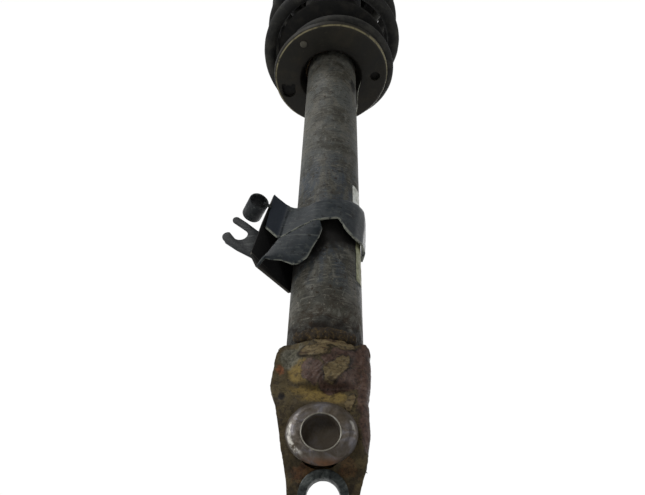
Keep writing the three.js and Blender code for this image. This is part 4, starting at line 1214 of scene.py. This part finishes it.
def hook(paint):
    """A flat plate with an open slot between a lower and an upper prong."""
    slot_centre, slot_r = np.array((-67.2, 183.7)), 5.7
    way, across = np.array((-0.8, 0.6)), np.array((0.6, 0.8))
    slot = [tuple(slot_centre + slot_r * (across * math.cos(a) - way * math.sin(a)))
            for a in np.linspace(0, math.pi, 25)]
    outline = [(-43, 158), (-51.7, 158.5), (-56.6, 162), (-68, 168.5), (-77.6, 175.4)]
    outline += arc((-76.5, 181.2), 4.2, 238, 75, 12) + slot[::-1] + arc((-72.2, 198.4), 2.9, 225, 52, 11)
    outline += [(-63.5, 195.6), (-54, 187.4), (-45, 182)]
    front, thickness = -8.5, 2.5
    count = len(outline)
    points = [(x, y, z) for y in (front, front + thickness) for x, z in outline]
    faces = [tuple(range(count)), tuple(range(2 * count - 1, count - 1, -1))]
    faces += [(i, i + count, (i + 1) % count + count, (i + 1) % count) for i in range(count)]
    piece = mesh_object("hose_hook_plate", points, faces, paint, BODY, ("hose_hook",), 40)
    outward(piece)
    bevel(piece, 0.6, 3, 30)
    soften(piece, 40)


# ------------------------------------------------- seat, spring and boot
SEAT_Z = 411.0
SEAT_R = 60.7
DRAIN, SMALL_HOLE, RIVET = (-45.6, 15), (47, -3), (-28.4, -40.3)
TILT = math.radians(3)
SEAT_PLACE = (Matrix.Translation((-0.7, 0, SEAT_Z)) @ Matrix.Rotation(TILT * 0.6, 4, "X")
              @ Matrix.Rotation(-TILT, 4, "Y"))


def box_cutter(xs, ys, zs, place):
    work = bmesh.new()
    bmesh.ops.create_cube(work, size=1.0)
    size = Vector((xs[1] - xs[0], ys[1] - ys[0], zs[1] - zs[0]))
    middle = Vector(((xs[0] + xs[1]) / 2, (ys[0] + ys[1]) / 2, (zs[0] + zs[1]) / 2))
    for vertex in work.verts:
        vertex.co = (place @ (Vector(c * w for c, w in zip(vertex.co, size)) + middle)) * MM
    return cutter_from(work)


def seat_hole(piece, place, radius, low, high, look=None):
    """Drills a hole at a place on the seat; a look gives the cut walls their own."""
    x, y = place
    ends = [SEAT_PLACE @ Vector((x, y, z)) for z in (low, high)]
    cutter = cylinder_cutter(radius, *ends, 48)
    if look:
        cutter.data.materials.append(look)
    cut_with(piece, cutter)


def seat_pieces(paint, rubber, rivet):
    hub, rim, foot = TUBE_R + 1.6, SEAT_R, 33
    section = [(hub, 15), (hub, 11), (foot, 0), (rim - 3, 0), (rim - 0.7, 2), (rim, 6.5), (rim - 1.8, 6.5),
               (rim - 3.2, 3.9), (rim - 4.4, 2.5), (34.2, 2.5), (hub + 2.6, 13), (hub + 2.4, 15)]
    pan = turned("spring_pan", section, paint, BODY, ("lower_spring_seat",), 1.0, 192, SEAT_PLACE)
    for radius, place in ((7.4, DRAIN), (5.2, SMALL_HOLE)):
        seat_hole(pan, place, radius, -6, 6)
    for notch in ((-53, -48.9), (-42.6, -38.6)):
        cut_with(pan, box_cutter(notch, (6, 12), (-5, 8), SEAT_PLACE))
    bevel(pan, 0.35, 2, 50)
    roughen(pan, (0.3, 26, 3), (0.06, 2, 2))
    soften(pan, 40)

    button = turned("pan_rivet", [(0, 2.6), (3.5, 2.6), (3.5, -0.6), (3.0, -1.5), (1.8, -1.9), (0, -2.0)],
                    rivet, BODY, ("seat_rivet",), 0.5, 48, SEAT_PLACE @ Matrix.Translation((*RIVET, 0)))
    roughen(button, (0.1, 3, 3))

    inner, collar, outer = 34.6, 41.2, 56
    section = [(inner, 3), (outer, 3), (outer, 6), (collar, 6), (collar, 24), (inner, 24)]
    pad = turned("spring_pad", section, rubber, BODY, ("lower_spring_pad",), 1.2, 128, SEAT_PLACE)
    # The walls of the pad's drain holes are near-black: painted shadow inside the holes.
    hole_shadow = hole_shadow_look()
    for radius, place in ((8.6, DRAIN), (6.0, SMALL_HOLE)):
        seat_hole(pad, place, radius, 1, 5.3, hole_shadow)
    soften(pad, 40)


SPRING_TURNS = 5.25
SPRING_LOW, SPRING_HIGH = 428.75, 633.25
WIRE_R = 6.7
BOOT_LOW, BOOT_HIGH, BOOT_R = 452.0, 636.0, 35.5


def shorten(piece):
    """Gives a piece a mesh of its own."""
    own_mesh(piece)


def spring_centre(turn):
    from_top = SPRING_TURNS - turn
    foot = smooth_step(0, 0.9, turn)
    head = smooth_step(0, 0.9, from_top)
    r = min(49 + 22.5 * foot, 62 + 9.5 * head)
    climb = knots([(0, 0), (0.5, 0.02), (0.9, 0.12), (SPRING_TURNS - 0.8, 0.96),
                   (SPRING_TURNS - 0.4, 0.995), (SPRING_TURNS, 1)], turn)
    angle = 2 * math.pi * turn + math.pi
    height = SPRING_LOW + (SPRING_HIGH - SPRING_LOW) * climb
    return Vector((r * math.cos(angle), r * math.sin(angle), height))


def spring_wire(paint):
    around, per_turn = 28, 110
    steps = int(SPRING_TURNS * per_turn)
    centres = [spring_centre(SPRING_TURNS * i / steps) for i in range(steps + 1)]
    for _ in range(30):
        inner = [(a + b * 2 + c) / 4 for a, b, c in zip(centres, centres[1:], centres[2:])]
        centres = [centres[0]] + inner + [centres[-1]]
    # Each ring has a place along the wire, a size and, at a rounded end, a shift outwards.
    cap = [(0.0, 1.0), (0.55, 0.85), (0.85, 0.5)]
    rings = [(0, size, -shift) for size, shift in cap] + [(i, 1.0, 0.0) for i in range(steps + 1)]
    rings += [(steps, size, shift) for size, shift in reversed(cap)]
    points = []
    for i, size, shift in rings:
        run = (centres[min(i + 1, steps)] - centres[max(i - 1, 0)]).normalized()
        out = Vector((centres[i].x, centres[i].y, 0)).normalized()
        up = run.cross(out).normalized()
        side = up.cross(run)
        middle = centres[i] + run * shift * 1.2
        for j in range(around):
            a = 2 * math.pi * j / around
            points.append(middle + (side * math.cos(a) + up * math.sin(a)) * WIRE_R * max(size, 0.02))
    faces = grid_faces(len(rings), around, wrap_columns=True)
    spring = mesh_object("spring_wire", points, faces, paint, BODY, ("coil_spring",), 60)
    outward(spring)
    soften(spring, 60)
    roughen(spring, (0.12, 8, 4))
    shorten(spring)


def dust_boot(rubber):
    low, high, r, skirt = BOOT_LOW, BOOT_HIGH, BOOT_R, 46.0
    section = [(skirt, low - 6), (skirt + 1.5, low - 4.6), (skirt + 1.5, low - 2.2), (skirt, low - 0.8),
               (r + 2, low), (r + 0.4, low + 1), (r, low + 3), (r - 0.8, low + 5), (r - 0.8, low + 16),
               (r, low + 20)]
    folds, per_fold, wall = 7, 12, 1.4
    pitch = (high - 6 - low - 20) / folds
    for k in range(folds * per_fold):
        t = k / per_fold
        section.append((r - 2.2 + 1.9 * math.cos(2 * math.pi * t), low + 20 + pitch * (t + 0.02)))
    section += [(r - 3, high)]
    section += [(radius - wall, z) for radius, z in reversed(section)]
    brim = [(r + 0.2, low + 5.5), (60, low + 8), (61, low + 9), (60, low + 10), (r + 0.2, low + 8)]
    shorten(turned("boot_collar", brim, rubber, BODY, (), 0.3, 128))
    shorten(turned("bellows_boot", section, rubber, BODY, ("dust_boot",), 0, 128, sharp=60))


# ------------------------------------------------------------------ films
def label_patch(name, look, angles, heights, replaces, seed):
    """A thin film on the tube with a torn, slightly lifted edge."""
    rows, columns = 60, 24
    points = []
    for i in range(rows + 1):
        for j in range(columns + 1):
            u, v = j / columns, i / rows
            torn = 0.06 * noise.noise(Vector((v * 9, seed, 0)))
            angle = math.radians(angles[0] + (angles[1] - angles[0]) * (u * (1 - torn) + torn * 0.5))
            edge = min(u, 1 - u, v, 1 - v)
            lift = 0.28 * math.exp(-edge * 18) * (0.5 + noise.noise(Vector((u * 5, v * 7, seed))))
            r = TUBE_R + 0.25 + max(lift, 0) + 0.06 * noise.noise(Vector((u * 8, v * 12, seed + 4)))
            waver = 0.5 * noise.noise(Vector((u * 6, seed, v * 3)))
            z = heights[0] + (heights[1] - heights[0]) * v + waver
            points.append((r * math.cos(angle), r * math.sin(angle), z))
    piece = mesh_object(name, points, grid_faces(rows + 1, columns + 1), look, BODY, replaces, 60)
    thicken(piece, 0.12, -1)
    soften(piece, 60)


def label_pieces(label, old_label):
    label_patch("label_blank_upper", label, (-42, -17), (209, 231), ("label_upper",), 3)
    label_patch("label_blank_lower", old_label, (-36, -15), (138, 176), ("label_lower",), 8)


def foil_strip(look):
    """A torn strip of film that hangs off the tube, near the seat."""
    foot, tip = Vector((23.9, -9.9, 334)), Vector((30.6, -3.5, 402.5))
    points = []
    for i in range(41):
        t = i / 40
        sway = 0.5 * math.sin(2.4 * math.pi * t) - 2.2 * t * (1 - t)
        middle = foot.lerp(tip, t) + Vector((sway, -1.0, 0))
        half = Vector((math.cos(5 * t), math.sin(5 * t), 0)) * 0.55 * (1 - 0.5 * t)
        points += [middle + half, middle - half]
    strip = mesh_object("foil_strip", points, grid_faces(41, 2), look, BODY, (), 60)
    thicken(strip, 0.25, -1)
    soften(strip, 60)


# --------------------------------------------------- upper seat and mount
ROD_R, BOLT_R = 11.0, 7.0
STUD_CIRCLE_R, STUD_HOLE_R = 44.0, 4.35


def top_pieces(paint, rubber, nylon, foam, zinc, chrome, machined):
    """The turned pieces above the spring, from the upper seat to the rod's nut."""
    hole = BOLT_R + 0.4
    pad = [(52, 640.5), (74, 640.5), (74, 644.7), (48, 644.7), (48, 632), (52, 632)]
    pan = [(22, 655.8), (44, 655.8), (50, 645), (76, 645), (78.4, 637), (80.3, 637), (78.6, 647.5),
           (52, 647.5), (46, 658.5), (22, 658.5)]
    lower_race = [(26, 659), (44, 659), (44, 662.5), (40, 662.5), (37.5, 661.2), (32.5, 661.2),
                  (30, 662.5), (26, 662.5)]
    upper_race = [(26, 673), (26, 666.8), (30, 666.8), (32.5, 668.2), (37.5, 668.2), (40, 666.8),
                  (45, 668.5), (45, 664), (46.6, 664), (46.6, 673)]
    rod = [(0, 414), (6, 414), (6, 437), (ROD_R, 437), (ROD_R, 674), (BOLT_R, 675), (BOLT_R, 721),
           (6, 722), (0, 722)]
    bump = [(11.6, 588), (15, 588), (17.5, 592), (21, 597), (18, 603), (24, 610), (20.5, 616), (25, 624),
            (25, 632), (11.6, 632)]
    cup = [(11.4, 632.4), (26, 632.4), (26, 625), (28, 625), (28, 635), (11.4, 635)]
    bush = [(13.3, 680), (25, 680), (29, 684), (29, 695), (24, 698), (13.3, 698)]
    for name, node, body, look, section, radius, segments in (
            ("upper_pad", "upper_spring_pad", SEAT, rubber, pad, 1.2, 128),
            ("upper_pan", "upper_spring_seat", SEAT, paint, pan, 1.5, 192),
            ("lower_race", "bearing_lower_race", SEAT, nylon, lower_race, 0.5, 128),
            ("upper_race", "bearing_upper_race", MOUNT, nylon, upper_race, 0.5, 128),
            ("rod", "piston_rod", MOUNT, chrome, rod, 0.5, 96),
            ("bumper", "bump_stop", MOUNT, foam, bump, 2.2, 128),
            ("bumper_cup", "bump_stop_cup", MOUNT, paint, cup, 0.9, 128),
            ("lower_washer", "rebound_washer", MOUNT, zinc, box_section(hole, 20, 675.5, 678.5), 0.5, 128),
            ("centre_sleeve", "mount_sleeve", MOUNT, machined, box_section(hole, 13, 679, 700), 0.4, 128),
            ("mount_bush", "mount_rubber", MOUNT, rubber, bush, 2.0, 128)):
        turned(name, section, look, body, (node,), radius, segments)
    mount_plate(paint, zinc)
    turned("top_washer", box_section(hole, 19, 700.5, 703.5), zinc, MOUNT, ("rod_washer",), 0.6)
    nut("top_nut", 704, 715, 7.3, 12.4, zinc, "rod_nut")


def mount_plate(paint, zinc):
    section = [(29.4, 696), (29.4, 683.5), (26.5, 676.6), (26.5, 673.4), (47, 673.4), (47, 678), (50, 683),
               (55, 683), (55, 686), (33, 686), (32, 696)]
    plate = turned("mount_plate", section, paint, MOUNT, ("top_mount_plate",), 1.0, 192)
    for i in range(3):
        a = 2 * math.pi * i / 3 + math.pi / 2
        x, y = STUD_CIRCLE_R * math.cos(a), STUD_CIRCLE_R * math.sin(a)
        cut_with(plate, cylinder_cutter(STUD_HOLE_R, (x, y, 656), (x, y, 706), 48))
        stud(f"stud_{i + 1}", x, y, 675, 708, zinc, f"mount_stud_{i + 1}")
    bevel(plate, 0.3, 2, 50)
    soften(plate, 40)


def stud(name, x, y, low, high, look, node):
    """A threaded stud: a helical ridge on a round core, with a chamfered end."""
    core, depth, pitch, around = 3.95, 0.55, 1.25, 40
    start = low + 12
    levels = list(np.arange(low, high - 0.01, pitch / 6)) + [high]
    points = [(x, y, low)]
    for z in levels:
        for j in range(around):
            a = 2 * math.pi * j / around
            thread = 0.0
            if z > start:
                phase = (z / pitch - j / around) % 1
                thread = -depth * abs(2 * phase - 1) * min(1, (z - start) / 2)
            r = core + thread - 0.9 * max(0, z - (high - 1.0))
            points.append((x + r * math.cos(a), y + r * math.sin(a), z))
    points.append((x, y, high))
    faces = grid_faces(len(levels), around, wrap_columns=True, offset=1)
    last = 1 + (len(levels) - 1) * around
    faces += [(0, 1 + (j + 1) % around, 1 + j) for j in range(around)]
    faces += [(len(points) - 1, last + j, last + (j + 1) % around) for j in range(around)]
    piece = mesh_object(name, points, faces, look, MOUNT, (node,), 60)
    outward(piece)
    soften(piece, 60)


def nut(name, low, high, bore, corner, look, node):
    """A hexagon nut on the axis, with chamfered corners and a round bore."""
    segments, chamfer = 96, 1.0
    angles = [2 * math.pi * j / segments for j in range(segments)]
    points = []
    for z, shrink in ((low, chamfer), (low + 0.8, 0), (high - 0.8, 0), (high, chamfer)):
        for a in angles:
            flat = corner * math.cos(math.pi / 6) / math.cos((a % (math.pi / 3)) - math.pi / 6)
            r = min(flat, corner - 0.15 - shrink)
            points.append((r * math.cos(a), r * math.sin(a), z))
    for z, r in ((high, bore + 0.7), (high - 0.6, bore), (low + 0.6, bore), (low, bore + 0.7)):
        points += [(r * math.cos(a), r * math.sin(a), z) for a in angles]
    piece = mesh_object(name, points, grid_faces(8, segments, True, True), look, MOUNT, (node,), 25)
    outward(piece)
    soften(piece, 25)


def internal_pieces(machined, rubber, nylon, foam, zinc, chrome):
    looks = {
        "base_cap": machined, "foot_valve": machined, "inner_cylinder": machined, "rod_guide": machined,
        "rod_seal": rubber, "gland_cap": zinc, "piston": machined, "piston_band": nylon, "piston_nut": zinc,
        "rebound_stop": foam, "bearing_cage": nylon,
    }
    for i in range(12):
        looks[f"bearing_ball_{i + 1}"] = chrome
    for node, look in looks.items():
        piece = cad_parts[node]
        piece.data.materials.clear()
        piece.data.materials.append(look)


# ------------------------------------------------------------ light, floor
BACKDROP_WAY = (0.0, 0.78, 0.63)
ROOM_LEVEL, BACKDROP_LEVEL = 0.14, 1.02
FLOOR_Z, FLOOR_HALF = -0.9, 8.0
LIGHTS = (
    # name, place, watts, size: metres, all aimed at LIGHT_AIM
    ("key", (-0.9, -1.0, 1.3), 19, 0.8),
    ("fill", (1.3, -0.8, 0.4), 2.5, 0.5),
    ("right", (1.1, -0.12, 0.42), 1.6, 0.22),
    ("left", (-1.1, -0.22, 0.0), 4.5, 0.75),
    ("rim", (0.5, 1.3, 1.1), 7, 0.8),
)
LIGHT_AIM = Vector((0, 0, 0.25))


def sky():
    """A bright backdrop behind the object and a dimmer room round it."""
    world = bpy.data.worlds.new("studio")
    world.use_nodes = True
    nodes, links = world.node_tree.nodes, world.node_tree.links
    place = nodes.new("ShaderNodeTexCoord")
    dot = nodes.new("ShaderNodeVectorMath")
    dot.operation = "DOT_PRODUCT"
    dot.inputs[1].default_value = BACKDROP_WAY
    links.new(place.outputs["Generated"], dot.inputs[0])
    edge = nodes.new("ShaderNodeMapRange")
    edge.interpolation_type = "SMOOTHSTEP"
    for name, value in (("From Min", 0.35), ("From Max", 0.72),
                        ("To Min", ROOM_LEVEL), ("To Max", BACKDROP_LEVEL)):
        edge.inputs[name].default_value = value
    links.new(dot.outputs["Value"], edge.inputs["Value"])
    links.new(edge.outputs["Result"], nodes["Background"].inputs["Strength"])
    nodes["Background"].inputs["Color"].default_value = (1, 1, 1, 1)
    return world


def studio():
    scene = bpy.context.scene
    scene.view_settings.view_transform = "Standard"
    scene.view_settings.look = "None"
    scene.world = sky()
    corners = [(x * FLOOR_HALF, y * FLOOR_HALF, FLOOR_Z) for x, y in ((-1, -1), (1, -1), (1, 1), (-1, 1))]
    mesh = bpy.data.meshes.new("floor")
    mesh.from_pydata(corners, [], [(0, 1, 2, 3)])
    floor = bpy.data.objects.new("floor", mesh)
    scene.collection.objects.link(floor)
    pale = Look("pale_floor", 0.9)
    clouds = pale.ramp(pale.noise(300, 2, seed=1), (0.3, (226, 226, 226)), (0.7, (232, 232, 232)))
    mesh.materials.append(pale.done(clouds))
    for name, place, power, size in LIGHTS:
        data = bpy.data.lights.new(name, "AREA")
        data.energy = power
        data.size = size
        lamp = bpy.data.objects.new(name, data)
        lamp.location = place
        lamp.rotation_euler = (LIGHT_AIM - Vector(place)).to_track_quat("-Z", "Y").to_euler()
        scene.collection.objects.link(lamp)


make_camera()
build()
studio()
